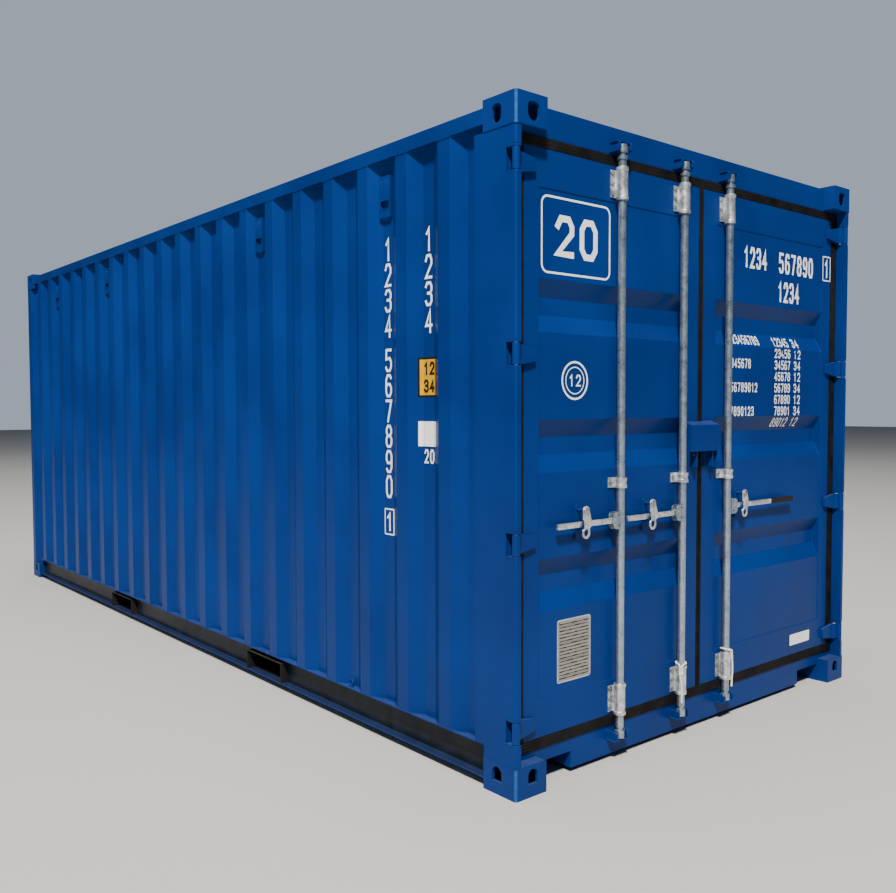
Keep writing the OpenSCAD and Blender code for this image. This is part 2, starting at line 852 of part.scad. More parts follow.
// Bar brackets: a plate bolted to the leaf and a sleeve round the bar, thicker at its ends
module bracket(y, z, half, out, more, back = face_x) {
    plate_t = 5;
    rim = 14;
    translate([0, y, z - half]) difference() {
        union() {
            translate([back, -out, 0]) cube([plate_t, out + 14, 2 * half]);
            translate([back, -14, 0]) cube([bar_x - back, 28, 2 * half]);
            translate([bar_x, 0, -more]) cylinder(h = 2 * (half + more), r = sleeve_r);
            for (z = [-more, 2 * half + more - rim]) translate([bar_x, 0, z])
                cylinder(h = rim, r = rim_r);
        }
        translate([bar_x, 0, -more - 1])
            cylinder(h = 2 * (half + more + 1), r = bar_r + sleeve_gap);
    }
}

module bar_brackets(bars) {
    for (y = bars) {
        bracket(y, top_bracket_z, top_bracket_half, plate_out, sleeve_more);
        bracket(y, guide_z, guide_half, guide_out, 0, panel_x + seat);
        bracket(y, low_bracket_z, low_bracket_half, plate_out, sleeve_more);
    }
}

// Handle retainer: a plate with a rounded top, a shelf with a lip under the handle and a boss
// that the catch hangs on
module retainer(y) {
    shelf_z = handle_z - handle_half - 1;
    lip_x1 = handle_x + handle_t / 2 + 6;
    plate_half = 15;
    back = panel_x + seat;
    translate([0, y, 0]) {
        span([back, -plate_half, handle_z - 61], [face_x + 5, plate_half, catch_z + 5]);
        rod_x(back, face_x + 5, 0, catch_z + 5, plate_half);
        span([back, -plate_half, shelf_z - 8], [lip_x1, plate_half, shelf_z]);
        span([lip_x1 - 3, -plate_half, shelf_z - 8], [lip_x1, plate_half, shelf_z + 10]);
        rod_x(back, catch_x - 1, 0, catch_z, 7);
        rod_x(back, catch_x + catch_t + 1, 0, catch_z, catch_pin_r);
        rod_x(catch_x + catch_t + 0.5, catch_x + catch_t + 2, 0, catch_z, catch_pin_r + 2);
    }
}

// Catch that hangs in front of the handle: a round head on the pin, a body that bulges to one
// side across the handle, and an eye for a seal at its lower end
module catch(y) {
    x0 = catch_x - 1;
    x1 = catch_x + catch_t;
    ring_z = handle_z - 34;
    slot_h = 4;
    bulge = 31;
    waist = 8;
    neck_half = catch_top_r - 1;
    eye_half = catch_ring_r - 1;
    translate([0, y, 0]) difference() {
        union() {
            rod_x(catch_x, x1, 0, catch_z, catch_top_r);
            rod_x(catch_x, x1, 0, ring_z, catch_ring_r);
            translate([catch_x, 0, 0]) rotate([90, 0, 90]) linear_extrude(catch_t)
                polygon([[-neck_half, catch_z], [neck_half, catch_z],
                    [bulge, handle_z + 16], [bulge, handle_z - 8],
                    [eye_half, handle_z - 14], [eye_half, ring_z],
                    [-eye_half, ring_z], [-waist, handle_z - 12],
                    [-waist, handle_z + 12], [-neck_half, handle_z + 24]]);
        }
        rod_x(x0, x1 + 1, 0, catch_z, catch_pin_r + 0.1);
        rod_x(x0, x1 + 1, 0, ring_z, catch_ring_hole);
        rod_x(x0, x1 + 1, 0, ring_z + slot_h, catch_ring_hole);
        span([x0, -catch_ring_hole, ring_z], [x1 + 1, catch_ring_hole, ring_z + slot_h]);
    }
}

// Locking bar at y with its cams, whose wings point to side in Y, and the cheeks that hold the
// handle's root, on the handle's side
module lock_bar(y, side) {
    tube_wall = 3.2;
    neck_h = 11;
    neck_r = bar_r - 3.5;
    drain_r = 9;
    z0 = cam_z_low - cam_half;
    z1 = cam_z_top + cam_half;
    neck_low = cam_z_low + cam_half + 2;
    neck_top = cam_z_top - cam_half - neck_h - 2;
    translate([bar_x, y, 0]) scale_y(side) difference() {
        union() {
            translate([0, 0, z0]) cylinder(h = z1 - z0, r = bar_r);
            // collar between the upper neck and the top bracket
            translate([0, 0, neck_top - 16]) cylinder(h = 13, r = bar_r + 5);
            for (z = [cam_z_low, cam_z_top]) translate([0, 0, z - cam_half]) {
                cylinder(h = 2 * cam_half, r = cam_hub_r);
                translate([-cam_w / 2, 0, 0]) cube([cam_w, cam_reach, 2 * cam_half]);
            }
        }
        for (z = [neck_low, neck_top]) translate([0, 0, z]) difference() {
            cylinder(h = neck_h, r = bar_r + 1);
            translate([0, 0, -1]) cylinder(h = neck_h + 2, r = neck_r);
        }
        translate([0, 0, neck_low + 2 * neck_h])
            cylinder(h = neck_top - neck_low - 4 * neck_h, r = bar_r - tube_wall);
        translate([0, 0, z0 - 1]) cylinder(h = neck_low + 2 * neck_h - z0 + 2, r = drain_r);
    }
    // cheeks in front of and behind the handle's root, and the handle's pin
    x_in = handle_x - handle_t / 2 - cheek_gap;
    x_out = handle_x + handle_t / 2 + cheek_gap + 1;
    translate([0, y, handle_z]) scale_y(side) {
        for (x = [x_in - cheek_t, x_out]) difference() {
            union() {
                span([x, -cheek_out + 20, -cheek_half], [x + cheek_t, 4 - bar_r, cheek_half]);
                rod_x(x, x + cheek_t, -cheek_out + 20, cheek_half - 20, 20);
                rod_x(x, x + cheek_t, -cheek_out + 20, 20 - cheek_half, 20);
                span([x, -cheek_out, 20 - cheek_half], [x + cheek_t, 0 - cheek_out + 20,
                    cheek_half - 20]);
            }
            rod_x(x - 1, x + cheek_t + 1, -28, cheek_half - 15, 5);
            rod_x(x - 1, x + cheek_t + 1, -28, 15 - cheek_half, 5);
        }
        rod_x(x_in - cheek_t, x_out + cheek_t + 1.5, -pivot_off, 0, hinge_pin_r);
    }
}

// Handle with its rounded root on the pin and a flat arm; side as for its bar
module handle(y, l, side) {
    arm = l - pivot_off;
    translate([handle_x - handle_t / 2, y, handle_z]) scale_y(side)
        translate([0, -pivot_off, 0]) rotate([90, 0, 90]) linear_extrude(handle_t)
        difference() {
            union() {
                circle(root_r);
                translate([-arm, -handle_half]) square([arm, 2 * handle_half]);
            }
            circle(hinge_pin_r + 0.1);
        }
}

module handle_grip(y, l) {
    x0 = handle_x - handle_t / 2;
    grip_half = handle_half + 1.5;
    color(black) translate([0, y, handle_z])
        span([x0 - 1, l + seat, -grip_half], [x0 + handle_t + 1, l + grip_l, grip_half]);
}

// Lock box on the right leaf, reaching over the edge of the left one; open below
module right_lock_box() {
    over = 6;
    slope = 18;
    color(blue) difference() {
        union() {
            translate([0, box_y1, 0]) rotate([90, 0, 0]) linear_extrude(box_y1 + 2 + 4)
                polygon([[face_x, lock_z0], [lock_x1, lock_z0], [lock_x1, lock_z1 - slope],
                    [face_x, lock_z1]]);
            translate([0, 4, 0]) rotate([90, 0, 0]) linear_extrude(4 - box_y0)
                polygon([[face_x + over, lock_z0], [lock_x1, lock_z0],
                    [lock_x1, lock_z1 - slope], [face_x + over, lock_z1 - slope * over / 50]]);
            span([face_x, box_y1 - lock_t, cheek_z0], [lock_x1 - 12, box_y1, lock_z0 + 1]);
            span([face_x + over, box_y0, cheek_z0], [lock_x1 - 12, box_y0 + lock_t, lock_z0 + 1]);
        }
        translate([0, box_y1 - lock_t, 0]) rotate([90, 0, 0])
            linear_extrude(box_y1 - box_y0 - 2 * lock_t)
            polygon([[face_x - 1, lock_z0 - 1], [lock_x1 - lock_t, lock_z0 - 1],
                [lock_x1 - lock_t, lock_z1 - slope - lock_t], [face_x - 1, lock_z1 - lock_t]]);
    }
}

// Staples under the lock box, one on each leaf
module staple(y) {
    color(blue) difference() {
        union() {
            span([face_x, y - 26, cheek_z0 + 6], [face_x + 6, y + 26, lock_z0 + 40]);
            span([face_x, y - 4, cheek_z0 + 6], [face_x + 38, y + 4, lock_z0 + 40]);
        }
        translate([face_x + 24, y - 10, lock_z0 - 20]) rotate([-90, 0, 0])
            cylinder(h = 20, r = 8);
    }
}

// Ropes

// A tube of round cross-section along a list of points round the bar's axis.
// Each ring is turned so that its first point faces away from the axis.
function unit(v) = v / norm(v);
function polar(p) = [p[0] * cos(p[1]), p[0] * sin(p[1]), p[2]];
function bearing(p, i) = unit(polar(p[min(i + 1, len(p) - 1)]) - polar(p[max(i - 1, 0)]));
function ring_at(p, i, r) =
    let (t = bearing(p, i), out = [cos(p[i][1]), sin(p[i][1]), 0], v = unit(cross(t, out)),
        u = cross(v, t))
    [for (k = [0:rope_sides - 1]) polar(p[i]) + r * (cos(360 * k / rope_sides) * u
        + sin(360 * k / rope_sides) * v)];
module rope_tube(p, r) {
    n = len(p);
    points = [for (i = [0:n - 1]) each ring_at(p, i, r)];
    sides = [for (i = [0:n - 2], k = [0:rope_sides - 1])
        let (a = i * rope_sides + k, b = i * rope_sides + (k + 1) % rope_sides)
        [b, a, a + rope_sides, b + rope_sides]];
    caps = [[for (k = [0:rope_sides - 1]) k],
        [for (k = [rope_sides - 1:-1:0]) (n - 1) * rope_sides + k]];
    polyhedron(points = points, faces = concat(sides, caps), convexity = 10);
}

// Looped round the bar on top of the low bracket's sleeve
module door_rope(y, points) {
    color(white) translate([bar_x, y, sleeve_top]) rope_tube(points, rope_r);
}

// Nodes of the two leaves
module left_door_frame() { color(blue) leaf_frame(left_free_y); }
module left_door_panel() { color(blue) leaf_panel(left_free_y); }
module left_hinge_blades() { color(blue) hinge_blades(); }
module left_door_gasket() { color(black) leaf_gasket(left_free_y, 20 + seam_gap / 2); }
module left_bar_brackets() { color(zinc) bar_brackets(-left_bars); }
module left_handle_retainers() { color(blue) for (b = left_bars) retainer(-b - left_keep_off); }
module left_lock_staple() { staple(-90); }
module left_door_rope() { door_rope(-left_bars[1], left_rope); }
module right_door_frame() { color(blue) right_side() leaf_frame(right_free_y); }
module right_door_panel() { color(blue) right_side() leaf_panel(right_free_y); }
module right_hinge_blades() { color(blue) right_side() hinge_blades(); }
module right_door_gasket() {
    color(black) right_side() leaf_gasket(right_free_y, seam_gap / 2 - 20);
}
module right_bar_brackets() { color(zinc) bar_brackets(right_bars); }
module right_handle_retainer() {
    color(blue) for (b = right_bars) retainer(b + right_keep_off);
}
module right_lock_staple() { staple(30); }
module right_door_rope() { door_rope(right_bars[0], right_rope); }
module bar_1() { color(zinc) lock_bar(-left_bars[0], 1); }
module bar_2() { color(zinc) lock_bar(-left_bars[1], 1); }
module bar_3() { color(zinc) lock_bar(right_bars[0], -1); }
module handle_1() { color(zinc) handle(-left_bars[0], left_handle_l, 1); }
module handle_2() { color(zinc) handle(-left_bars[1], left_handle_l, 1); }
module handle_3() { color(zinc) handle(right_bars[0], right_handle_l, -1); }
module handle_3_grip() { handle_grip(right_bars[0], right_handle_l); }
module catch_1() { color(zinc) catch(-left_bars[0] - left_keep_off); }
module catch_2() { color(zinc) catch(-left_bars[1] - left_keep_off); }
module catch_3() { color(zinc) catch(right_bars[0] + right_keep_off); }

bottom_castings();
front_top_castings();
door_top_castings();
rear_corner_posts();
front_corner_posts();
hinge_lugs();
hinge_pins();
bottom_rail_left();
bottom_rail_right();
top_rails();
front_sill();
front_header();
door_sill();
door_header();
front_wall();
side_wall_left();
side_wall_right();
roof();
cross_members();
fork_pockets();
floor_boards();  // floor
floor_center_rail();
cam_keepers();
side_vents();
tie_back_hooks();
left_door_frame();
left_door_panel();
left_hinge_blades();
left_door_gasket();
left_bar_brackets();
left_handle_retainers();
left_lock_staple();
left_door_rope();
right_door_frame();
right_door_panel();
right_hinge_blades();
right_door_gasket();
right_bar_brackets();
right_handle_retainer();
right_lock_box();
right_lock_staple();
right_door_rope();
bar_1();
bar_2();
bar_3();
handle_1();
handle_2();
handle_3();
handle_3_grip();
catch_1();
catch_2();
catch_3();
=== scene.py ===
"""A 20 ft freight container, dressed for rendering. Metres; the door end is at +X, Z is up."""

import math

import bmesh
import bpy
from mathutils import Matrix, Vector


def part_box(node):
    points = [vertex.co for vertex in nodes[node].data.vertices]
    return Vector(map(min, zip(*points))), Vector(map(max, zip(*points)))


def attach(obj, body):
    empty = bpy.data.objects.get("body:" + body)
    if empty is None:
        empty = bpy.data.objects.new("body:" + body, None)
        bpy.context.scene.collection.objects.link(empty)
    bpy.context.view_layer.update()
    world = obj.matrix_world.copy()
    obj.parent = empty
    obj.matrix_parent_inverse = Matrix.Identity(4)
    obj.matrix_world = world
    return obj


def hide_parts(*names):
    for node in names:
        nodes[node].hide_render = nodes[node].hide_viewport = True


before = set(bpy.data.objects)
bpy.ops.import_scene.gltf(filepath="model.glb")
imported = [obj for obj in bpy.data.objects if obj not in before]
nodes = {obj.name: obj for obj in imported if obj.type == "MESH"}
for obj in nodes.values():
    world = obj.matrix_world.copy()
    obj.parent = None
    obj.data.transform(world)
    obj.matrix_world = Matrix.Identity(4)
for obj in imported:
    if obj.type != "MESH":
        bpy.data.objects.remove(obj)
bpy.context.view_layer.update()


# Camera
# Stands beside the left corner of the door end, a little under eye height, and looks along both
# faces through a lens close to normal.

camera_data = bpy.data.cameras.new("camera")
camera_data.sensor_width = 36.0
camera_data.lens = 36.82
camera_data.clip_end = 200.0
camera = bpy.data.objects.new("camera", camera_data)
bpy.context.scene.collection.objects.link(camera)
bpy.context.scene.camera = camera
camera_azimuth, camera_rise, camera_tilt = (math.radians(a) for a in (50.228, 2.486, -0.156))
camera_back = Vector((math.sin(camera_azimuth) * math.cos(camera_rise),
                      -math.cos(camera_azimuth) * math.cos(camera_rise), math.sin(camera_rise)))
camera_level = Vector((0, 0, 1)).cross(camera_back).normalized()
camera_up = camera_back.cross(camera_level)
camera_right = camera_level * math.cos(camera_tilt) + camera_up * math.sin(camera_tilt)
camera_top = camera_up * math.cos(camera_tilt) - camera_level * math.sin(camera_tilt)
camera.matrix_world = Matrix.LocRotScale(
    Vector((5.416, -3.525, 1.458)),
    Matrix((camera_right, camera_top, camera_back)).transposed(), None)


# Door ropes
# Two short cream cords of three laid strands. Each is looped round a locking bar on top of its
# lower bracket, hangs down in front of it, and ends in a bound, unknotted tip.

def new_piece(name, mesh, material, body, smooth=True):
    """Turn a worked mesh into a piece of the scene that moves with its body."""
    for face in mesh.faces:
        face.smooth = smooth
    data = bpy.data.meshes.new(name)
    mesh.to_mesh(data)
    mesh.free()
    data.materials.append(material)
    piece = bpy.data.objects.new(name, data)
    bpy.context.scene.collection.objects.link(piece)
    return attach(piece, body)


def add_node(tree, kind, sockets=(), operation=None, data_type=None):
    """Place a shader node, choose what it does, and set the sockets that are given."""
    node = tree.nodes.new("ShaderNode" + kind)
    if operation:
        node.operation = operation
    if data_type:
        node.data_type = data_type
    for socket, value in dict(sockets).items():
        node.inputs[socket].default_value = value
    return node


def wire(tree, *runs):
    """Join sockets; each run gives a node, its output, the next node and its input."""
    for start, out, end, into in runs:
        tree.links.new(start.outputs[out], end.inputs[into])


def new_group(name, inputs, outputs):
    """An empty shader node group, with its sockets given as pairs of name and kind."""
    group = bpy.data.node_groups.new(name, "ShaderNodeTree")
    for in_out, sockets in (("INPUT", inputs), ("OUTPUT", outputs)):
        for socket, kind in sockets:
            group.interface.new_socket(socket, in_out=in_out, socket_type="NodeSocket" + kind)
    return group, group.nodes.new("NodeGroupInput"), group.nodes.new("NodeGroupOutput")


def plain_material(name, roughness, metallic=0.0, specular=0.5):
    """A material with its shader in place; the finish is wired by its own section."""
    material = bpy.data.materials.new(name)
    material.use_nodes = True
    shader = material.node_tree.nodes["Principled BSDF"]
    shader.inputs["Roughness"].default_value = roughness
    shader.inputs["Metallic"].default_value = metallic
    shader.inputs["Specular IOR Level"].default_value = specular
    return material, material.node_tree, shader


# The grain of cord, wood, rubber, print and etched metal: one noise, stretched along the piece
fine_grain, grain_in, grain_out = new_group(
    "fine_grain",
    (("Place", "Vector"), ("Stretch", "Vector"), ("Scale", "Float"), ("Detail", "Float"),
     ("Distortion", "Float"), ("Low", "Float"), ("High", "Float"), ("Dark", "Color"),
     ("Light", "Color")),
    (("Tone", "Color"), ("Grain", "Float")))
grain_stretch = add_node(fine_grain, "VectorMath", operation="MULTIPLY")
grain_noise = add_node(fine_grain, "TexNoise")
grain_share = add_node(fine_grain, "MapRange")
grain_tone = add_node(fine_grain, "Mix", data_type="RGBA")
wire(fine_grain,
     (grain_in, "Place", grain_stretch, 0), (grain_in, "Stretch", grain_stretch, 1),
     (grain_stretch, "Vector", grain_noise, "Vector"), (grain_in, "Scale", grain_noise, "Scale"),
     (grain_in, "Detail", grain_noise, "Detail"),
     (grain_in, "Distortion", grain_noise, "Distortion"),
     (grain_noise, "Fac", grain_share, "Value"), (grain_in, "Low", grain_share, "From Min"),
     (grain_in, "High", grain_share, "From Max"), (grain_share, "Result", grain_tone, "Factor"),
     (grain_in, "Dark", grain_tone, "A"), (grain_in, "Light", grain_tone, "B"),
     (grain_tone, "Result", grain_out, "Tone"), (grain_noise, "Fac", grain_out, "Grain"))


def grained(name, roughness, dark, light, scale, detail=2.0, spread=(0.0, 1.0), relief=None,
            metallic=0.0, specular=0.5, distortion=0.0, stretch=(1, 1, 1), place="Object"):
    """A material whose tone drifts between two shades; relief is its bump's strength and depth."""
    material, tree, shader = plain_material(name, roughness, metallic, specular)
    grain = add_node(tree, "Group")
    grain.node_tree = fine_grain
    for socket, value in (("Scale", scale), ("Detail", detail), ("Distortion", distortion),
                          ("Stretch", stretch), ("Low", spread[0]), ("High", spread[1]),
                          ("Dark", (*dark, 1)), ("Light", (*light, 1))):
        grain.inputs[socket].default_value = value
    wire(tree, (add_node(tree, "TexCoord"), place, grain, "Place"),
         (grain, "Tone", shader, "Base Color"))
    if relief:
        bump = add_node(tree, "Bump", {"Strength": relief[0], "Distance": relief[1]})
        wire(tree, (grain, "Grain", bump, "Height"), (bump, "Normal", shader, "Normal"))
    return material


rope_cream = grained("laid_cord", 0.85, (0.66, 0.63, 0.55), (0.96, 0.95, 0.90), 900.0, 4.0,
                     (0.3, 0.7), (0.5, 0.0006))
ROPE_R, TWINE_R = 0.0042, 0.0006
BAR_X = 3.002


def smooth_line(points, step):
    """Evenly spaced points on a smooth curve through the given ones."""
    fine = []
    for i in range(len(points) - 1):
        a, b, c, d = (points[max(i - 1, 0)], points[i], points[i + 1],
                      points[min(i + 2, len(points) - 1)])
        for k in range(24):
            t = k / 24
            fine.append(0.5 * ((2 * b) + (c - a) * t + (2 * a - 5 * b + 4 * c - d) * t * t
                               + (3 * b - a - 3 * c + d) * t ** 3))
    fine.append(points[-1])
    line, left = [fine[0]], step
    for p, q in zip(fine, fine[1:]):
        length = (q - p).length
        while left <= length:
            line.append(p.lerp(q, left / length))
            left += step
        left -= length
    return line


def tube_along(mesh, line, sides, away):
    """Add a closed tube round a line; away gives the wall's distance at an angle and a length."""
    rings, normal, along = [], None, 0.0
    for i, point in enumerate(line):
        ahead = (line[min(i + 1, len(line) - 1)] - line[max(i - 1, 0)]).normalized()
        if normal is None:
            normal = ahead.orthogonal().normalized()
        else:
            along += (point - line[i - 1]).length
            normal = (normal - ahead * normal.dot(ahead)).normalized()
        side = ahead.cross(normal)
        ring = []
        for k in range(sides):
            angle = 2 * math.pi * k / sides
            spoke = normal * math.cos(angle) + side * math.sin(angle)
            ring.append(mesh.verts.new(point + spoke * away(angle, along)))
        rings.append(ring)
    for low, high in zip(rings, rings[1:]):
        for k in range(sides):
            mesh.faces.new((low[k], low[(k + 1) % sides], high[(k + 1) % sides], high[k]))
    mesh.faces.new(list(reversed(rings[0])))
    mesh.faces.new(rings[-1])


def laid_cord(line, radius, turn):
    """A closed tube with three lobes that wind round it, once in each turn of length."""
    mesh = bmesh.new()
    tube_along(mesh, line, 18, lambda angle, along: radius * (
        0.80 + 0.20 * abs(math.cos(1.5 * (angle - 2 * math.pi * along / turn)))))
    return mesh


# Points along each rope from its bound end round the bar to its tail: distance from the bar's
# axis in mm, bearing in degrees, height in mm over the sleeve's top.
ROPE_OVER, ROPE_WRAP, SLEEVE_TOP = 30.2, 21.6, 0.319
ROPE_BEND = [(ROPE_OVER, 0, 0.5), (ROPE_OVER - 0.6, 2.5, 3.6), (ROPE_OVER - 2.3, 6.5, 6.2),
             (ROPE_OVER - 4.8, 15.5, 7.9), (ROPE_OVER - 7.2, 28, 8.6)]


def bent_over(start, way):
    """The bend over the sleeve's rim, where the upright strand stands at bearing start."""
    return [(away, start + way * bearing, rise) for away, bearing, rise in ROPE_BEND]


def down_from_rim(*drops):
    return [(ROPE_OVER + away, bearing, rise) for away, bearing, rise in drops]


left_run = (down_from_rim((0, -43, -38), (0, -43, -25), (0, -43, -12)) + bent_over(-43, 1)
            + [(ROPE_WRAP, 21 * k, 8.8 + 2 * math.sin(math.radians(15 * k))) for k in range(13)]
            + bent_over(298, -1)[::-1]
            + down_from_rim((0, 298, -12), (0, 298, -25), (0, 299, -38), (0, 306, -60),
                            (0, 312, -84), (0, 315, -108), (0.5, 314, -132), (0, 315, -160)))
right_run = (down_from_rim((0, 75, -34), (0, 75, -23), (0, 75, -12)) + bent_over(75, 1)
             + [(ROPE_WRAP, 118 + 21 * k, 8.8 + 9 * math.sin(math.pi * (k / 12) ** 1.5))
                for k in range(13)]
             + bent_over(412, -1)[::-1]
             + down_from_rim((0, 412, -12), (1, 412, -34), (3, 414, -60), (4, 417, -88),
                             (3.5, 420, -116), (3, 423, -144), (3, 425, -166)))
for rope_node, rope_body, bar_y, run, bound, twine_half in (
        ("left_door_rope", "left_door", -0.184, left_run, (-52.5, -0.029), 0.0099),
        ("right_door_rope", "right_door", 0.158, right_run, (63.5, -0.026), 0.0109)):
    spots = [Vector((BAR_X + away * math.cos(math.radians(bearing)) / 1000,
                     bar_y + away * math.sin(math.radians(bearing)) / 1000,
                     SLEEVE_TOP + rise / 1000)) for away, bearing, rise in run]
    rope_line = smooth_line(spots, 0.002)
    if (rope_line[-1] - spots[-1]).length > 0.0005:
        rope_line.append(spots[-1])
    side_name = rope_body.split("_")[0]
    rope = new_piece(side_name + "_tie_rope", laid_cord(rope_line, ROPE_R, 0.030), rope_cream,
                     rope_body)
    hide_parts(rope_node)

    # The binding: eleven turns of thin twine round both upright strands under the rim
    turn_a = math.radians(bound[0])
    across = Vector((-math.sin(turn_a), math.cos(turn_a), 0))
    outward = Vector((math.cos(turn_a), math.sin(turn_a), 0))
    bound_at = Vector((BAR_X, bar_y, SLEEVE_TOP + bound[1])) + outward * ROPE_OVER / 1000
    twine_line = [bound_at + across * twine_half * math.cos(k * math.pi / 10)
                  + outward * 0.0050 * math.sin(k * math.pi / 10)
                  + Vector((0, 0, 0.0011 * (k / 20 - 5.5))) for k in range(221)]
    twine = new_piece(side_name + "_rope_binding", laid_cord(twine_line, TWINE_R, 0.004),
                      rope_cream, rope_body)
    tip_wrap = new_piece(side_name + "_rope_tip", laid_cord(rope_line[-12:], ROPE_R + 0.0004, 9.0),
                         rope_cream, rope_body)


# Ground and light
# A plain pale studio floor that reaches past the view. One hard lamp high on the door side gives
# the shadows, three large soft ones fill them, and a pale sky lies behind.

floor_material, _, floor_shader = plain_material("studio_floor", 0.8)
floor_shader.inputs["Base Color"].default_value = (0.50, 0.485, 0.46, 1)
floor_mesh = bpy.data.meshes.new("studio_floor")
floor_mesh.from_pydata([(-60, -60, 0), (60, -60, 0), (60, 60, 0), (-60, 60, 0)], [], [(0, 1, 2, 3)])
floor_mesh.materials.append(floor_material)
studio_floor = bpy.data.objects.new("studio_floor", floor_mesh)
bpy.context.scene.collection.objects.link(studio_floor)


def soft_lamp(name, place, aim, size, watts, tint):
    lamp_data = bpy.data.lights.new(name, "AREA")
    lamp_data.shape = "DISK"
    lamp_data.size = size
    lamp_data.energy = watts
    lamp_data.color = tint
    lamp = bpy.data.objects.new(name, lamp_data)
    lamp.location = place
    lamp.rotation_euler = (Vector(aim) - Vector(place)).to_track_quat("-Z", "Y").to_euler()
    bpy.context.scene.collection.objects.link(lamp)


soft_lamp("key_lamp", (15.4, -13.1, 23.4), (1.0, 0, 1.0), 3.4, 17500, (1.0, 0.95, 0.88))
soft_lamp("side_lamp", (-3.0, -16.0, 8.0), (0.5, -1.0, 1.0), 6.0, 220, (0.86, 0.93, 1.0))
soft_lamp("top_lamp", (1.0, -1.0, 14.0), (0.5, 0, 1.0), 8.0, 800, (0.92, 0.96, 1.0))
soft_lamp("back_lamp", (-14.0, 12.0, 12.0), (0, 0, 1.2), 8.0, 700, (0.90, 0.95, 1.0))
world = bpy.data.worlds.new("studio_sky")
bpy.context.scene.world = world
world.use_nodes = True
sky = world.node_tree
sky_light = sky.nodes["Background"]
sky_light.inputs["Color"].default_value = (0.50, 0.70, 1.0, 1)
sky_light.inputs["Strength"].default_value = 0.13
sky_backdrop = add_node(sky, "Background", {"Color": (0.66, 0.76, 0.90, 1), "Strength": 0.55})
sky_path = add_node(sky, "LightPath")
sky_mix = add_node(sky, "MixShader")
wire(sky, (sky_path, "Is Camera Ray", sky_mix, "Fac"), (sky_light, "Background", sky_mix, 1),
     (sky_backdrop, "Background", sky_mix, 2),
     (sky_mix, "Shader", sky.nodes["World Output"], "Surface"))


# Corner posts and upper rails
# Folded and rolled steel plate, welded into one frame and sprayed with a thick coat of signal
# blue. The coat has a fine orange skin, slight clouds in its tone and some dust on flat tops.

paint_skin, skin_in, skin_out = new_group(
    "paint_skin", (("Skin Scale", "Float"),),
    (("Clouds", "Float"), ("Skin", "Float"), ("Dust", "Float")))
skin_place = add_node(paint_skin, "TexCoord")
skin_clouds = add_node(paint_skin, "TexNoise", {"Scale": 1.7, "Detail": 5.0})
skin_fine = add_node(paint_skin, "TexNoise", {"Detail": 3.0})
skin_facing = add_node(paint_skin, "NewGeometry")
skin_split = add_node(paint_skin, "SeparateXYZ")
skin_flat = add_node(paint_skin, "MapRange", {"From Min": 0.75, "From Max": 0.98})
skin_speck = add_node(paint_skin, "TexNoise", {"Scale": 38.0, "Detail": 6.0})
skin_settle = add_node(paint_skin, "Math", operation="MULTIPLY")
wire(paint_skin,
     (skin_place, "Object", skin_clouds, "Vector"), (skin_place, "Object", skin_fine, "Vector"),
     (skin_place, "Object", skin_speck, "Vector"), (skin_in, "Skin Scale", skin_fine, "Scale"),
     (skin_facing, "Normal", skin_split, "Vector"), (skin_split, "Z", skin_flat, "Value"),
     (skin_flat, "Result", skin_settle, 0), (skin_speck, "Fac", skin_settle, 1),
     (skin_clouds, "Fac", skin_out, "Clouds"), (skin_fine, "Fac", skin_out, "Skin"),
     (skin_settle, "Value", skin_out, "Dust"))


def two_tones(tree, low, high, dark, light):
    """A ramp from a dark shade at low to a light one at high."""
    ramp = add_node(tree, "ValToRGB")
    for stop, place, shade in zip(ramp.color_ramp.elements, (low, high), (dark, light)):
        stop.position = place
        stop.color = (*shade, 1)
    return ramp


def sprayed_paint(name, dark, light, skin_scale, skin_depth, gloss, specular=0.14):
    """Paint whose tone drifts between two shades, dusty on what faces up."""
    material, tree, shader = plain_material(name, gloss, specular=specular)
    skin = add_node(tree, "Group")
    skin.node_tree = paint_skin
    skin.inputs["Skin Scale"].default_value = skin_scale
    tone = two_tones(tree, 0.35, 0.65, dark, light)
    dusty = add_node(tree, "Mix", {"B": (0.30, 0.28, 0.25, 1)}, data_type="RGBA")
    dust_share = add_node(tree, "Math", {1: 0.16}, operation="MULTIPLY")
    dull = add_node(tree, "MapRange", {"From Min": 0.3, "From Max": 0.7,
                                       "To Min": gloss - 0.04, "To Max": gloss + 0.06})
    bump = add_node(tree, "Bump", {"Strength": skin_depth, "Distance": 0.0006})
    wire(tree,
         (skin, "Clouds", tone, "Fac"), (skin, "Dust", dust_share, 0),
         (dust_share, "Value", dusty, "Factor"), (tone, "Color", dusty, "A"),
         (dusty, "Result", shader, "Base Color"), (skin, "Clouds", dull, "Value"),
         (dull, "Result", shader, "Roughness"), (skin, "Skin", bump, "Height"),
         (bump, "Normal", shader, "Normal"))
    return material


BLUE_DARK = (0.000, 0.021, 0.138)
BLUE_LIGHT = (0.000, 0.029, 0.178)
plate_paint = sprayed_paint("blue_plate_paint", BLUE_DARK, BLUE_LIGHT, 260.0, 0.12, 0.38)


def finish_node(node, material, radius=0.0, steps=2, least_angle=25):
    """Give a steel node its finish, and round its edges as the press or the welder left them."""
    steel = nodes[node]
    steel.data.materials.clear()
    steel.data.materials.append(material)
    if radius:
        weld = steel.modifiers.new("one_skin", "WELD")
        weld.merge_threshold = 0.00005
        edge = steel.modifiers.new("rounded_edges", "BEVEL")
        edge.width = radius
        edge.segments = steps
        edge.limit_method = "ANGLE"
        edge.angle_limit = math.radians(least_angle)
        edge.use_clamp_overlap = True
        flow = steel.modifiers.new("even_shading", "WEIGHTED_NORMAL")
        flow.weight = 80


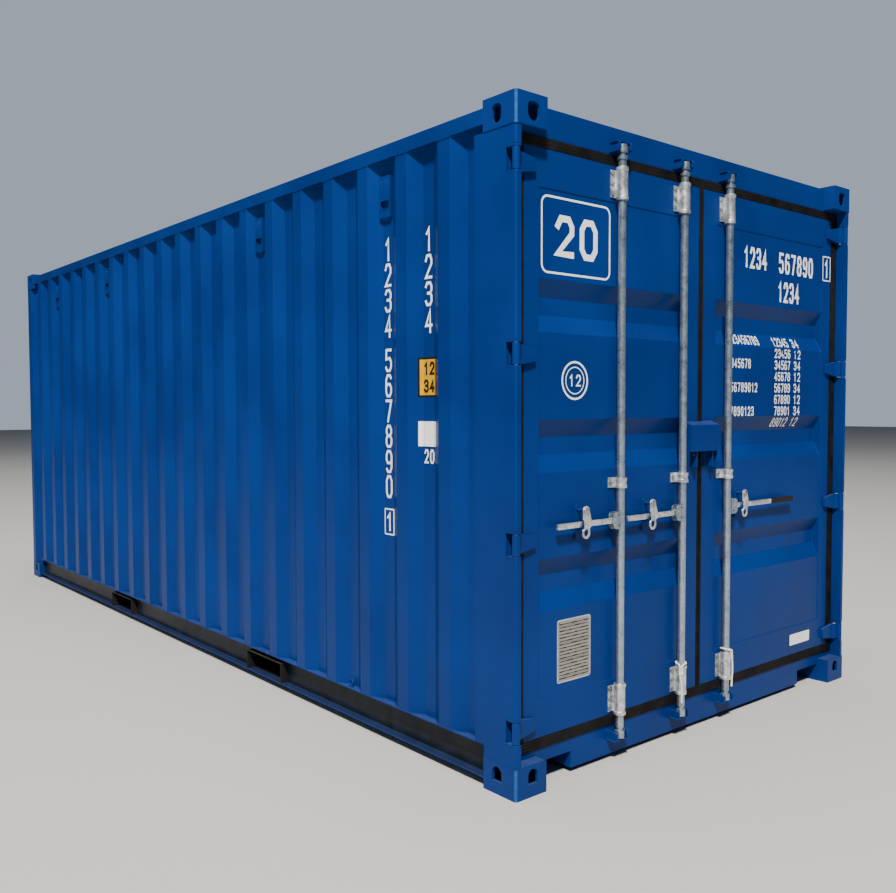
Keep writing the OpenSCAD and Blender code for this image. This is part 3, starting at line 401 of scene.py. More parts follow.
for post_node, edge_r in (
        ("rear_corner_posts", 0.0008), ("front_corner_posts", 0.0020), ("top_rails", 0.0025),
        ("front_header", 0.0020), ("door_header", 0.0020), ("hinge_lugs", 0.0015)):
    finish_node(post_node, plate_paint, edge_r)


# Corner castings
# Eight hollow blocks of cast steel, welded to the posts and painted with the rest. The cast skin
# shows through the coat as a coarse grain, and a pale stripe down the upright edges is a painted
# highlight.

def laid_over(paint, share):
    """Lay a second colour over a paint as far as share says; the new node's B takes that colour."""
    coat = paint.node_tree.nodes["Principled BSDF"].inputs["Base Color"]
    second = add_node(paint.node_tree, "Mix", data_type="RGBA")
    paint.node_tree.links.new(coat.links[0].from_socket, second.inputs["A"])
    paint.node_tree.links.new(share, second.inputs["Factor"])
    paint.node_tree.links.new(second.outputs["Result"], coat)
    return second


# Distance along plus distance across, at the corner where a casting's outer faces would meet
CORNER_SUM = 3.029 + 1.219
cast_paint = sprayed_paint("blue_cast_paint", BLUE_DARK, BLUE_LIGHT, 95.0, 0.55, 0.46, 0.18)
cast_tree = cast_paint.node_tree
cast_place = add_node(cast_tree, "TexCoord")
cast_split = add_node(cast_tree, "SeparateXYZ")
cast_x, cast_y = (add_node(cast_tree, "Math", operation="ABSOLUTE") for _ in range(2))
cast_edge = add_node(cast_tree, "Math", operation="ADD")
# A band just in from each casting's upright outer corner, broken by noise, is painted paler blue: a
# painted highlight.
cast_highlight_band = add_node(cast_tree, "MapRange", {"From Min": CORNER_SUM - 0.0115,
                                            "From Max": CORNER_SUM - 0.0085})
cast_highlight_noise = add_node(cast_tree, "TexNoise", {"Scale": 55.0, "Detail": 4.0})
cast_highlight_share = add_node(cast_tree, "Math", operation="MULTIPLY")
wire(cast_tree,
     (cast_place, "Object", cast_split, "Vector"), (cast_place, "Object", cast_highlight_noise, "Vector"),
     (cast_split, "X", cast_x, 0), (cast_split, "Y", cast_y, 0), (cast_x, "Value", cast_edge, 0),
     (cast_y, "Value", cast_edge, 1), (cast_edge, "Value", cast_highlight_band, "Value"),
     (cast_highlight_band, "Result", cast_highlight_share, 0), (cast_highlight_noise, "Fac", cast_highlight_share, 1))
cast_painted_highlight = laid_over(cast_paint, cast_highlight_share.outputs["Value"])
cast_painted_highlight.inputs["B"].default_value = (0.03, 0.15, 0.38, 1)
for casting_node in ("bottom_castings", "front_top_castings", "door_top_castings"):
    finish_node(casting_node, cast_paint, 0.0050, 3)


# Lower side rails, front sill and rope rings
# Pressed channels between the lower castings, with welded rings for the door ropes. The channels'
# recessed webs, between the flanges, are painted near black with a noisy tone.

rail_paint = sprayed_paint("blue_rail_paint", BLUE_DARK, BLUE_LIGHT, 260.0, 0.12, 0.38)
rail_tree = rail_paint.node_tree
rail_place = add_node(rail_tree, "TexCoord")
rail_split = add_node(rail_tree, "SeparateXYZ")
rail_side = add_node(rail_tree, "Math", operation="ABSOLUTE")
# How far in from the outer face, and between which heights, the near-black web colour lies
rail_deep = add_node(rail_tree, "MapRange", {"From Min": 1.2125, "From Max": 1.2115})
rail_low = add_node(rail_tree, "MapRange", {"From Min": 0.0395, "From Max": 0.0410})
rail_high = add_node(rail_tree, "MapRange", {"From Min": 0.1645, "From Max": 0.1630})
rail_both, rail_web_share = (add_node(rail_tree, "Math", operation="MULTIPLY") for _ in range(2))
rail_web_noise = add_node(rail_tree, "TexNoise", {"Scale": 12.0, "Detail": 6.0})
rail_web_near_black = two_tones(rail_tree, 0.35, 0.70, (0.006, 0.009, 0.014), (0.014, 0.020, 0.032))
rail_web_darkening = laid_over(rail_paint, rail_web_share.outputs["Value"])
wire(rail_tree,
     (rail_place, "Object", rail_split, "Vector"), (rail_place, "Object", rail_web_noise, "Vector"),
     (rail_split, "Y", rail_side, 0), (rail_side, "Value", rail_deep, "Value"),
     (rail_split, "Z", rail_low, "Value"), (rail_split, "Z", rail_high, "Value"),
     (rail_low, "Result", rail_both, 0), (rail_high, "Result", rail_both, 1),
     (rail_both, "Value", rail_web_share, 0), (rail_deep, "Result", rail_web_share, 1),
     (rail_web_noise, "Fac", rail_web_near_black, "Fac"), (rail_web_near_black, "Color", rail_web_darkening, "B"))
for rail_node in ("bottom_rail_left", "bottom_rail_right"):
    finish_node(rail_node, rail_paint, 0.0015)
finish_node("front_sill", plate_paint, 0.0015)
finish_node("tie_back_hooks", plate_paint, 0.0005)


# Side walls, front wall and roof
# Thin weathering steel, pressed into upright ribs on the walls and shallow troughs on the roof,
# with soft bends, and seam welded to the rails along every edge.

sheet_paint = sprayed_paint("blue_sheet_paint", BLUE_DARK, BLUE_LIGHT, 240.0, 0.10, 0.36)
for sheet_node, bend_r in (("side_wall_left", 0.006), ("side_wall_right", 0.006),
                           ("front_wall", 0.006), ("roof", 0.003)):
    finish_node(sheet_node, sheet_paint, bend_r, 3, 10)

RIB_CENTRES = [2.757 - 0.280 * k for k in range(21)][::-1]
# From a rib's middle to the end of its flat and to the end of its slope
RIB_FLAT, RIB_EDGE = 0.035, 0.103
WALL_OUT, WALL_IN = 1.2136, 1.1776
WALL_FRONT = -2.9527


def bead_path(points, step=0.005):
    """Evenly stepped points along straight runs, the corners kept."""
    line = [Vector(points[0])]
    for start, end in zip(points, points[1:]):
        start, end = Vector(start), Vector(end)
        count = max(1, round((end - start).length / step))
        line += [start.lerp(end, k / count) for k in range(1, count + 1)]
    return line


def weld_beads(name, runs, radius, body):
    """Rippled fillets of weld metal, half sunk in the plates that they join."""
    mesh = bmesh.new()
    for run in runs:
        tube_along(mesh, bead_path(run), 6,
                   lambda angle, along: radius * (0.88 + 0.12 * math.cos(math.pi * along / 0.005)))
    return new_piece(name, mesh, bead_paint, body)


bead_paint = sprayed_paint("blue_bead_paint", BLUE_DARK, BLUE_LIGHT, 150.0, 0.4, 0.34)
for side_sign, side_word in ((-1, "left"), (1, "right")):
    edge_line = [(WALL_FRONT, WALL_OUT)]
    for centre in RIB_CENTRES:
        edge_line += [(centre - RIB_EDGE, WALL_OUT), (centre - RIB_FLAT, WALL_IN)]
        edge_line += [(centre + RIB_FLAT, WALL_IN)]
        if centre < 2.7:
            edge_line += [(centre + RIB_EDGE, WALL_OUT)]
    weld_beads(side_word + "_wall_welds",
               [[(x, side_sign * y, height) for x, y in edge_line] for height in (0.168, 2.505)],
               0.0035, "container")
    weld_beads(side_word + "_wall_end_welds",
               [[(2.799, side_sign * 1.1785, 0.170), (2.799, side_sign * 1.1785, 2.503)],
                [(WALL_FRONT, side_sign * 1.2140, 0.170),
                 (WALL_FRONT, side_sign * 1.2140, 2.503)]],
               0.0030, "container")


# Frame welds
# Steel posts and cast blocks are joined by one run of weld metal each. It is ground almost flush,
# runs round the outer corner, and is painted with the frame.

seam_runs = []
for end_sign in (-1, 1):
    for side_sign in (-1, 1):
        for height in (0.1195, 2.4715):
            seam_runs.append([(end_sign * x, side_sign * y, height)
                              for x, y in ((2.860, 1.2163), (3.020, 1.2163), (3.0245, 1.2145),
                                           (3.0263, 1.2100), (3.0263, 1.0640))])
weld_beads("casting_seams", seam_runs, 0.0022, "container")


# Vents
# Small hoods pressed from steel sheet and welded on under the upper rail, four a side. Each has a
# downward mouth and five upright slats that keep spray out.

finish_node("side_vents", plate_paint, 0.0015)
vent_slats = bmesh.new()
for vent_x in (-2.283, -1.163, 1.077, 2.197):
    for side_sign in (-1, 1):
        for k in range(-2, 3):
            tube_along(vent_slats, [Vector((vent_x + 0.013 * k, side_sign * 1.1956, z))
                                    for z in (2.352, 2.3555, 2.425, 2.4285)], 8,
                       lambda angle, along: 0.0022 if 0.002 < along < 0.075 else 0.0008)
new_piece("vent_slats", vent_slats, plate_paint, "container")


# Door sill and cam keepers
# The sill is a stiff box under the doors, open towards the castings. The keepers that take the
# bars' cams are forged hooks, welded to sill and header and painted over.

finish_node("door_sill", plate_paint, 0.0020)
forging_paint = sprayed_paint("blue_forging_paint", BLUE_DARK, BLUE_LIGHT, 120.0, 0.45, 0.40)
finish_node("cam_keepers", forging_paint, 0.0015)


# Cross members and fork tunnels
# Pressed steel channels under the floor, welded to both side rails, and two closed tunnels for a
# lift truck's forks. All of it is brushed with a black wax against road salt.

wax_black = sprayed_paint("underside_wax", (0.010, 0.010, 0.011), (0.022, 0.021, 0.020),
                          55.0, 0.7, 0.55)
finish_node("cross_members", wax_black, 0.001)
finish_node("fork_pockets", wax_black, 0.001)


# Floor
# Sheets of marine plywood, oiled dark, screwed down on the cross members either side of a flat
# steel centre strip.

ply = grained("floor_plywood", 0.6, (0.10, 0.045, 0.022), (0.30, 0.155, 0.078), 2.2, 9.0,
              (0.32, 0.68), (0.35, 0.0008), distortion=1.4, stretch=(1.6, 22.0, 22.0))
finish_node("floor", ply)
finish_node("floor_center_rail", plate_paint, 0.001)


def turned(mesh, centre, profile, sides, start=0.0, upright=False):
    """A turned form closed at its crown, from pairs of radius and height; it faces +X, or up."""
    x, y, z = centre
    last = None
    for radius, out in profile:
        ring = []
        for k in range(sides):
            turn = 2 * math.pi * k / sides + start
            across, rise = radius * math.cos(turn), radius * math.sin(turn)
            ring.append(mesh.verts.new((x + across, y + rise, z + out) if upright
                                       else (x + out, y + across, z + rise)))
        for k in range(sides if last else 0):
            mesh.faces.new((last[k - 1], last[k], ring[k], ring[k - 1]))
        last = ring
    mesh.faces.new(last)


ply_screw = grained("screw_steel", 0.4, (0.22, 0.20, 0.18), (0.42, 0.41, 0.40), 30.0,
                    metallic=0.8, place="Generated")
SCREW_ROWS, SCREW_INSET = 20, 0.060
floor_low, floor_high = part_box("floor")
row_gap = (floor_high[0] - floor_low[0] - 2 * SCREW_INSET) / (SCREW_ROWS - 1)
floor_screws = bmesh.new()
for row in range(SCREW_ROWS):
    for screw_y in (-1.12, -0.90, -0.62, -0.34, -0.09, 0.09, 0.34, 0.62, 0.90, 1.12):
        turned(floor_screws, (floor_low[0] + SCREW_INSET + row * row_gap, screw_y, floor_high[2]),
               ((0.007, 0.0002), (0.0025, -0.0012)), 12, upright=True)
new_piece("floor_screws", floor_screws, ply_screw, "container", False)


# Door leaves
# Each leaf is a welded box frame of steel round a pressed sheet with three troughs. The sheet is
# seam welded to the frame all round and sprayed with it.

for leaf_node in ("left_door_frame", "right_door_frame"):
    finish_node(leaf_node, plate_paint, 0.0015)
for leaf_node in ("left_door_panel", "right_door_panel"):
    finish_node(leaf_node, sheet_paint, 0.005, 3, 10)

PANEL_FACE, PANEL_FOOT, PANEL_HEAD = 2.971, 0.331, 2.281
TROUGH_HEIGHTS, TROUGH_DEPTH = (0.771, 1.306, 1.841), 0.036
# From a trough's middle to the end of its flat and to the end of its slope
TROUGH_FLAT, TROUGH_EDGE = 0.034, 0.102


def panel_depth(z):
    """How far the leaf's pressed sheet lies behind its flat face at a height, in metres."""
    for centre in TROUGH_HEIGHTS:
        reach = abs(z - centre)
        if reach < TROUGH_EDGE:
            return min(1.0, (TROUGH_EDGE - reach) / (TROUGH_EDGE - TROUGH_FLAT)) * TROUGH_DEPTH
    return 0.0


panel_heights = [PANEL_FOOT]
for centre in TROUGH_HEIGHTS:
    panel_heights += [centre + reach for reach in (-TROUGH_EDGE, -TROUGH_FLAT, TROUGH_FLAT,
                                                   TROUGH_EDGE)]
panel_heights.append(PANEL_HEAD)
for leaf, stiles in (("left_door", (-1.046, -0.136)), ("right_door", (0.096, 1.046))):
    runs = [[(PANEL_FACE, y, z) for y in stiles] for z in (PANEL_FOOT, PANEL_HEAD)]
    for y in stiles:
        runs.append([(PANEL_FACE - panel_depth(z), y, z) for z in panel_heights])
    weld_beads(leaf + "_panel_weld", runs, 0.0034, leaf)


# Hinges
# Four forged steel blades a leaf, welded on the leaf's face and painted over. They turn on bare
# pins in the post's lugs.

finish_node("left_hinge_blades", forging_paint, 0.0020, 3)
finish_node("right_hinge_blades", forging_paint, 0.0020, 3)


# Door seals
# Extruded black rubber strip, clamped round each leaf; it lies on the frame and meets at the
# seam. Fine raised lines run along it.

seal_rubber = grained("seal_rubber", 0.62, (0.004, 0.004, 0.005), (0.012, 0.011, 0.011), 14.0, 7.0,
                      (0.35, 0.7), (0.3, 0.001), specular=0.12)
finish_node("left_door_gasket", seal_rubber, 0.002)
finish_node("right_door_gasket", seal_rubber, 0.002)
SEAL_FACE, SEAL_LINE_R, SEAM_LINE_R = 2.9738, 0.0014, 0.0010
for leaf, hinge_y, centre_ys in (("left_door", -1.126, (-0.0345, -0.0265)),
                                 ("right_door", 1.126, (-0.0135, -0.0055))):
    lines = bmesh.new()
    outer = math.copysign(1.0, hinge_y)
    near = centre_ys[0] if outer < 0 else centre_ys[1]
    for z in (2.433, 2.445, 2.457, 0.152, 0.165, 0.178):
        tube_along(lines, [Vector((SEAL_FACE, hinge_y + outer * 0.050, z)),
                           Vector((SEAL_FACE, near, z))], 6, lambda angle, along: SEAL_LINE_R)
    for y in (hinge_y + outer * 0.015, hinge_y + outer * 0.030, hinge_y + outer * 0.045):
        tube_along(lines, [Vector((SEAL_FACE, y, 0.190)), Vector((SEAL_FACE, y, 2.422))], 6,
                   lambda angle, along: SEAL_LINE_R)
    for y in centre_ys:
        tube_along(lines, [Vector((SEAL_FACE, y, 0.190)), Vector((SEAL_FACE, y, 2.422))], 6,
                   lambda angle, along: SEAM_LINE_R)
    new_piece(leaf + "_seal_lines", lines, seal_rubber, leaf)


# Locking bars and brackets
# Tube bars with forged cams, held by bolted brackets. All of it is dipped in zinc: pale blue
# grey, dull, with the cloudy crystals of a hot dip and a rougher skin on the forgings.

zinc_bloom, bloom_in, bloom_out = new_group(
    "zinc_bloom", (("Crystal Scale", "Float"),), (("Bloom", "Float"), ("Grain", "Float")))
bloom_place = add_node(zinc_bloom, "TexCoord")
bloom_crystal = add_node(zinc_bloom, "TexVoronoi")
bloom_cloud = add_node(zinc_bloom, "TexNoise", {"Scale": 26.0, "Detail": 6.0})
bloom_grey = add_node(zinc_bloom, "SeparateColor")
bloom_mix = add_node(zinc_bloom, "Math", {1: 0.35}, operation="MULTIPLY_ADD")
wire(zinc_bloom,
     (bloom_place, "Object", bloom_crystal, "Vector"),
     (bloom_place, "Object", bloom_cloud, "Vector"),
     (bloom_in, "Crystal Scale", bloom_crystal, "Scale"),
     (bloom_crystal, "Color", bloom_grey, "Color"), (bloom_grey, "Red", bloom_mix, 0),
     (bloom_cloud, "Fac", bloom_mix, 2), (bloom_mix, "Value", bloom_out, "Bloom"),
     (bloom_cloud, "Fac", bloom_out, "Grain"))


def dipped_zinc(name, dark, light, crystal_scale, bump_depth, roughness):
    """Hot-dip zinc between two greys."""
    material, tree, shader = plain_material(name, roughness, 0.85)
    bloom = add_node(tree, "Group")
    bloom.node_tree = zinc_bloom
    bloom.inputs["Crystal Scale"].default_value = crystal_scale
    tone = two_tones(tree, 0.35, 0.95, dark, light)
    rough = add_node(tree, "MapRange", {"To Min": roughness - 0.08, "To Max": roughness + 0.10})
    bump = add_node(tree, "Bump", {"Strength": bump_depth, "Distance": 0.0008})
    wire(tree,
         (bloom, "Bloom", tone, "Fac"), (tone, "Color", shader, "Base Color"),
         (bloom, "Bloom", rough, "Value"), (rough, "Result", shader, "Roughness"),
         (bloom, "Grain", bump, "Height"), (bump, "Normal", shader, "Normal"))
    return material


# The bars' zinc is tinted bluer than the forgings': a painted reflection of blue sky on the zinc's
# own grey.
bar_zinc_sky_tinted = dipped_zinc("zinc_tube_sky_tinted", (0.23, 0.29, 0.36), (0.44, 0.52, 0.60), 130.0, 0.05, 0.28)
forged_zinc = dipped_zinc("zinc_forging", (0.36, 0.39, 0.42), (0.98, 0.99, 0.98), 70.0, 0.60, 0.34)
for gear_node, gear_zinc, edge_r in (
        ("bar_1", bar_zinc_sky_tinted, 0.0010), ("bar_2", bar_zinc_sky_tinted, 0.0010), ("bar_3", bar_zinc_sky_tinted, 0.0010),
        ("hinge_pins", forged_zinc, 0.0012), ("left_bar_brackets", forged_zinc, 0.0012),
        ("right_bar_brackets", forged_zinc, 0.0012)):
    finish_node(gear_node, gear_zinc, edge_r)

WASHER = 0.0012


def bolt_head(mesh, centre, radius, height):
    """A hexagon head with a chamfered crown on a round washer, facing +X."""
    turned(mesh, centre, ((1.45 * radius, 0.0), (1.45 * radius, WASHER),
                          (1.02 * radius, WASHER + 0.0004)), 24)
    turned(mesh, centre, ((radius, WASHER), (radius, WASHER + 0.85 * height),
                          (0.84 * radius, WASHER + height)), 6, 0.3)


bolt_zinc = dipped_zinc("zinc_bolt", (0.16, 0.17, 0.18), (0.50, 0.52, 0.53), 160.0, 0.2, 0.34)
for leaf, bar_ys in (("left_door", (-0.600, -0.184)), ("right_door", (0.158,))):
    bolts = bmesh.new()
    for bar_y in bar_ys:
        for z in (2.310, 2.351, 2.392, 0.215, 0.255, 0.295):
            bolt_head(bolts, (2.979, bar_y - 0.033, z), 0.0080, 0.0055)
        bolt_head(bolts, (2.9763, bar_y - 0.034, 1.147), 0.0070, 0.0050)
    new_piece(leaf + "_bracket_bolts", bolts, bolt_zinc, leaf, False)


# Handles, retainers and catches
# Forged flat handles on the bars; painted plates on the leaf hold their ends, and a zinc catch
# hangs in front of each.

for gear_node in ("handle_1", "handle_2", "handle_3"):
    finish_node(gear_node, forged_zinc, 0.0020, 3)
for gear_node in ("catch_1", "catch_2", "catch_3"):
    finish_node(gear_node, forged_zinc, 0.0010)
for leaf, rivet_ys in (("left_door", (-0.831, -0.415)), ("right_door", (0.272,))):
    knobs = bmesh.new()
    for rivet_y in rivet_ys:
        turned(knobs, (3.0255, rivet_y, 1.050),
               ((0.0060, 0.0), (0.0125, 0.0002), (0.0128, 0.0011), (0.0105, 0.0023),
                (0.0060, 0.0029), (0.0020, 0.0031)), 20)
    new_piece(leaf + "_catch_rivets", knobs, bolt_zinc, leaf)
finish_node("left_handle_retainers", forging_paint, 0.0010)
finish_node("right_handle_retainer", forging_paint, 0.0010)


# Lock box
# A box of bent plate on the right leaf, welded along its edges, that covers the padlock's
# staples from above and from both sides.

finish_node("right_lock_box", plate_paint, 0.0020, 3)
finish_node("left_lock_staple", plate_paint, 0.0015)
finish_node("right_lock_staple", plate_paint, 0.0015)


# Data plate and label
# A thin plate of bright metal, etched with fine lines and held by corner rivets, and below on
# the other leaf a small bare white label.

plate_metal = grained("etched_plate", 0.42, (0.29, 0.275, 0.25), (0.45, 0.43, 0.40), 3.0, 5.0,
                      (0.3, 0.7), metallic=0.6, stretch=(1.0, 6.0, 160.0))
rim_metal = dipped_zinc("plate_rim_metal", (0.55, 0.60, 0.66), (0.78, 0.82, 0.86), 60.0, 0.1, 0.35)


def thin_plate(mesh, x, y_span, z_span, thick, corner):
    """A flat plate with rounded corners on a leaf's face."""
    outline = []
    for cy, cz, start in ((y_span[1] - corner, z_span[1] - corner, 0),
                          (y_span[0] + corner, z_span[1] - corner, 90),
                          (y_span[0] + corner, z_span[0] + corner, 180),
                          (y_span[1] - corner, z_span[0] + corner, 270)):
        for k in range(5):
            turn = math.radians(start + 22.5 * k)
            outline.append((cy + corner * math.cos(turn), cz + corner * math.sin(turn)))
    back = [mesh.verts.new((x, y, z)) for y, z in outline]
    front = [mesh.verts.new((x + thick, y, z)) for y, z in outline]
    for k in range(len(outline)):
        mesh.faces.new((back[k - 1], back[k], front[k], front[k - 1]))
    mesh.faces.new(front)
    mesh.faces.new(list(reversed(back)))


def paint_line(mesh, points, width, place, closed=False):
    """One painted stroke of even width through flat points; place sets them on the surface.

    An open stroke rises a little along its way, so that it never lies in one plane with itself.
    """
    points = [Vector(p) for p in points]
    count = len(points)
    sides = []
    for i, point in enumerate(points):
        before = points[i - 1] if closed or i > 0 else None
        after = points[(i + 1) % count] if closed or i < count - 1 else None
        ways = [(b - a).normalized() for a, b in ((before, point), (point, after))
                if a is not None and b is not None]
        along = sum(ways, Vector((0, 0))).normalized()
        across = Vector((-along.y, along.x))
        miter = max(0.5, abs(across.dot(Vector((-ways[0].y, ways[0].x)))))
        reach = across * width / 2 / miter
        if not closed and i in (0, count - 1):
            point = point + ways[0] * (width / 2 if i else -width / 2) * 0.9
        rise = 0.0 if closed else 0.00005 * i
        sides.append((mesh.verts.new(place(point + reach, rise)),
                      mesh.verts.new(place(point - reach, rise))))
    pairs = list(zip(sides, sides[1:])) + ([(sides[-1], sides[0])] if closed else [])
    for (a, b), (c, d) in pairs:
        mesh.faces.new((a, b, d, c))


plate_rim = bmesh.new()
thin_plate(plate_rim, 2.9702, (-0.940, -0.746), (0.375, 0.624), 0.0010, 0.010)
new_piece("data_plate_rim", plate_rim, rim_metal, "left_door", False)
plate_body = bmesh.new()
thin_plate(plate_body, 2.9705, (-0.935, -0.751), (0.380, 0.619), 0.0015, 0.006)
new_piece("data_plate", plate_body, plate_metal, "left_door", False)
rivets = bmesh.new()
for rivet_y in (-0.930, -0.756):
    for rivet_z in (0.386, 0.4995, 0.613):
        turned(rivets, (2.9718, rivet_y, rivet_z),
               ((0.0042, 0.0), (0.0040, 0.0010), (0.0028, 0.0018), (0.0012, 0.0022)), 12)
new_piece("data_plate_rivets", rivets, bolt_zinc, "left_door")

ink_black = grained("marking_black", 0.5, (0.004, 0.004, 0.005), (0.014, 0.014, 0.015), 40.0,
                    specular=0.1, place="Generated")
etching = bmesh.new()


def on_plate(p, rise=0.0):
    return Vector((2.9723 + rise, p.x, p.y))


for k in range(17):
    z = 0.606 - 0.0134 * k
    left, gap = -0.926, 0.004
    for word in range(6):
        right = min(left + 0.014 + 0.0052 * ((k * 7 + word * 5) % 6), -0.760)
        if right - left > 0.008:
            paint_line(etching, [(left, z), (right, z)], (0.0046, 0.0030)[(k + word) % 2], on_plate)
        left = right + gap + 0.002 * (word % 2)
for z in (0.599, 0.532, 0.465, 0.398):
    paint_line(etching, [(-0.930, z), (-0.756, z)], 0.0010, on_plate)
new_piece("data_plate_etching", etching, ink_black, "left_door", False)

vinyl_white = grained("marking_white", 0.42, (0.86, 0.88, 0.90), (0.95, 0.96, 0.97), 18.0, 5.0,
                      (0.3, 0.65))
label = bmesh.new()
thin_plate(label, 2.9735, (0.770, 0.960), (0.235, 0.290), 0.0010, 0.003)
new_piece("bare_label", label, vinyl_white, "right_door", False)


# Markings
# Counting digits and plain outlines in white vinyl, cut to size and pressed on the leaves and in
# the ribs of the side walls, and one yellow plate with black digits folded into a rib.

# Each digit as strokes in a box of unit width and height
DIGITS = {
    "0": [[(0, .22), (0, .78), (.25, 1), (.75, 1), (1, .78), (1, .22), (.75, 0), (.25, 0),
           (0, .22)]],
    "1": [[(.18, .76), (.58, 1), (.58, 0)]],
    "2": [[(0, .78), (.22, 1), (.78, 1), (1, .80), (1, .60), (0, 0), (1, 0)]],
    "3": [[(0, .84), (.22, 1), (.78, 1), (1, .84), (1, .66), (.78, .53), (.35, .53)],
          [(.78, .53), (1, .38), (1, .16), (.78, 0), (.22, 0), (0, .16)]],
    "4": [[(.74, 0), (.74, 1), (0, .30), (1, .30)]],
    "5": [[(.96, 1), (.08, 1), (.02, .56), (.76, .60), (1, .42), (1, .18), (.76, 0), (.22, 0),
           (0, .15)]],
    "6": [[(.95, .88), (.76, 1), (.26, 1), (0, .78), (0, .20), (.24, 0), (.76, 0), (1, .18),
           (1, .40), (.76, .57), (.24, .57), (0, .42)]],
    "7": [[(0, 1), (1, 1), (.34, 0)]],
    "8": [[(.28, .53), (.04, .68), (.04, .84), (.28, 1), (.72, 1), (.96, .84), (.96, .68),
           (.72, .53)],
          [(.28, .53), (.72, .53), (1, .38), (1, .16), (.76, 0), (.24, 0), (0, .16), (0, .38),
           (.28, .53)]],
    "9": [[(.05, .12), (.24, 0), (.74, 0), (1, .22), (1, .80), (.76, 1), (.24, 1), (0, .82),
           (0, .60), (.24, .43), (.76, .43), (1, .58)]]}


def digit_row(mesh, digits, left, foot, wide, high, pitch, place, stroke=0.14):
    """Painted digits side by side, the first one's left edge and foot given."""
    line_w = stroke * high
    for k, digit in enumerate(digits):
        for strokes in DIGITS[digit]:
            points = [(left + k * pitch + line_w / 2 + u * (wide - line_w),
                       foot + line_w / 2 + v * (high - line_w)) for u, v in strokes]
            loop = strokes[0] == strokes[-1]
            paint_line(mesh, points[:-1] if loop else points, line_w, place, loop)


def rounded_box(left, right, foot, head, corner):
    """Points round a box with rounded corners."""
    points = []
    for cy, cz, start in ((right - corner, head - corner, 0), (left + corner, head - corner, 90),
                          (left + corner, foot + corner, 180),
                          (right - corner, foot + corner, 270)):
        points += [(cy + corner * math.cos(math.radians(start + 15 * k)),
                    cz + corner * math.sin(math.radians(start + 15 * k))) for k in range(7)]
    return points


def on_leaf(p, rise=0.0):
    return Vector((PANEL_FACE + 0.0004 - panel_depth(p.y) + rise, p.x, p.y))


def on_stile(p, rise=0.0):
    return Vector((2.9744 + rise, p.x, p.y))


left_marks = bmesh.new()
paint_line(left_marks, rounded_box(-1.029, -0.640, 1.967, 2.253, 0.030), 0.008, on_leaf, True)
digit_row(left_marks, "20", -0.955, 2.030, 0.105, 0.160, 0.137, on_leaf, 0.16)
for ring_r, ring_w in ((0.072, 0.008), (0.052, 0.004)):
    paint_line(left_marks, [(-0.843 + ring_r * math.cos(math.pi * k / 24),
                             1.559 + ring_r * math.sin(math.pi * k / 24)) for k in range(48)],
               ring_w, on_leaf, True)
digit_row(left_marks, "12", -0.877, 1.536, 0.028, 0.046, 0.040, on_leaf)
new_piece("left_door_markings", left_marks, vinyl_white, "left_door", False)

right_marks = bmesh.new()
digit_row(right_marks, "1234", 0.322, 2.110, 0.042, 0.101, 0.052, on_leaf)
digit_row(right_marks, "567890", 0.628, 2.110, 0.044, 0.101, 0.056, on_leaf)
digit_row(right_marks, "1", 1.062, 2.124, 0.044, 0.095, 0.056, on_stile)
paint_line(right_marks, rounded_box(1.048, 1.122, 2.110, 2.233, 0.004), 0.006, on_stile, True)
digit_row(right_marks, "1234", 0.622, 1.968, 0.042, 0.101, 0.052, on_leaf)
for row, left_count in enumerate((9, 0, 6, 0, 8, 0, 7, 0)):
    foot = 1.772 - 0.0565 * row - 0.0225
    digit_row(right_marks, ("1234567890" * 2)[row:row + left_count], 0.223, foot, 0.022, 0.045,
              0.029, on_leaf)
    number = "1234567890123"[row:row + 5]
    digit_row(right_marks, number, 0.600, foot, 0.024, 0.045, 0.030, on_leaf)
    digit_row(right_marks, "12" if row % 2 else "34", 0.778, foot, 0.026, 0.045, 0.036, on_leaf)
new_piece("right_door_markings", right_marks, vinyl_white, "right_door", False)


def wall_depth(reach):
    """How far the side wall stands out from its rib's flat, at a distance from the rib's middle."""
    slope = (abs(reach) - RIB_FLAT) / (RIB_EDGE - RIB_FLAT)
    return min(1.0, max(0.0, slope)) * (WALL_OUT - WALL_IN)


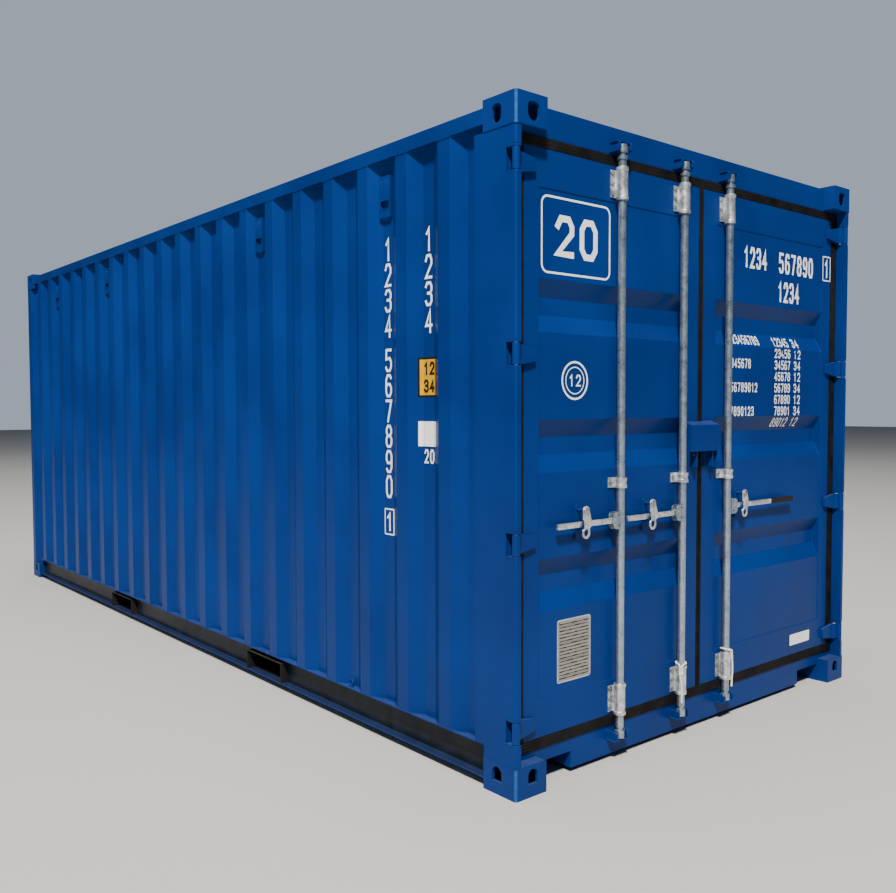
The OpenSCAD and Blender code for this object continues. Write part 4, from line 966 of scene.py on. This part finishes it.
NUMBER_RIB, TYPE_RIB = 2.197, 2.477
plate_yellow = grained("marking_yellow", 0.40, (0.56, 0.29, 0.0), (0.68, 0.37, 0.0), 16.0, 4.0,
                       (0.3, 0.7), specular=0.1)
for side_sign, side_word in ((-1, "left"), (1, "right")):
    def in_rib(rib_x, lift=0.0005):
        """Set flat points in a rib of this wall; their first value runs to the reader's right."""
        return lambda p, rise=0.0: Vector((
            rib_x - side_sign * p.x, side_sign * (WALL_IN + wall_depth(p.x) + lift + rise), p.y))

    wall_marks = bmesh.new()
    for rib_x, first_top, pitch in ((NUMBER_RIB, 2.184, 0.1095), (TYPE_RIB, 2.190, 0.1107)):
        for k, digit in enumerate("1234"):
            digit_row(wall_marks, digit, -0.025, first_top - 0.100 - pitch * k, 0.048, 0.100, 0.06,
                      in_rib(rib_x), 0.115)
    for k, digit in enumerate("567890"):
        digit_row(wall_marks, digit, -0.025, 1.609 - 0.1095 * k, 0.048, 0.100, 0.06,
                  in_rib(NUMBER_RIB), 0.115)
    digit_row(wall_marks, "1", -0.023, 0.917, 0.046, 0.082, 0.06, in_rib(NUMBER_RIB))
    paint_line(wall_marks, rounded_box(-0.032, 0.032, 0.903, 1.013, 0.003), 0.006,
               in_rib(NUMBER_RIB), True)
    for u0, u1 in ((-0.058, -0.036), (-0.034, 0.034), (0.036, 0.058)):
        wall_marks.faces.new([wall_marks.verts.new(in_rib(TYPE_RIB)(Vector(corner))) for corner in
                              ((u0, 1.295), (u1, 1.295), (u1, 1.398), (u0, 1.398))])
    digit_row(wall_marks, "20", -0.032, 1.225, 0.028, 0.058, 0.036, in_rib(TYPE_RIB))
    new_piece(side_word + "_wall_markings", wall_marks, vinyl_white, "container", False)
    for part_word, lift, inset, material in (("border", 0.0004, 0.0, ink_black),
                                             ("plate", 0.0008, 0.008, plate_yellow)):
        folded = bmesh.new()
        edges = (-0.059 + inset, -0.036, -0.034, 0.034, 0.036, 0.059 - inset)
        rows = [[folded.verts.new(in_rib(TYPE_RIB, lift)(Vector((u, z)))) for u in edges]
                for z in (1.498 + inset, 1.660 - inset)]
        for k in range(len(edges) - 1):
            folded.faces.new((rows[0][k], rows[0][k + 1], rows[1][k + 1], rows[1][k]))
        new_piece(side_word + "_height_" + part_word, folded, material, "container", False)
    height_digits = bmesh.new()
    for digits, foot in (("12", 1.588), ("34", 1.516)):
        digit_row(height_digits, digits, -0.034, foot, 0.032, 0.054, 0.038,
                  in_rib(TYPE_RIB, 0.0014), 0.20)
    new_piece(side_word + "_height_digits", height_digits, ink_black, "container", False)


# Handle sleeve
# A dark brown plastic sleeve, shrunk over the end of the right handle, with a faint mottle and
# soft edges.

sleeve_brown = grained("handle_sleeve", 0.5, (0.006, 0.004, 0.004), (0.018, 0.012, 0.010), 60.0,
                       specular=0.25, place="Generated")
finish_node("handle_3_grip", sleeve_brown, 0.003, 3)
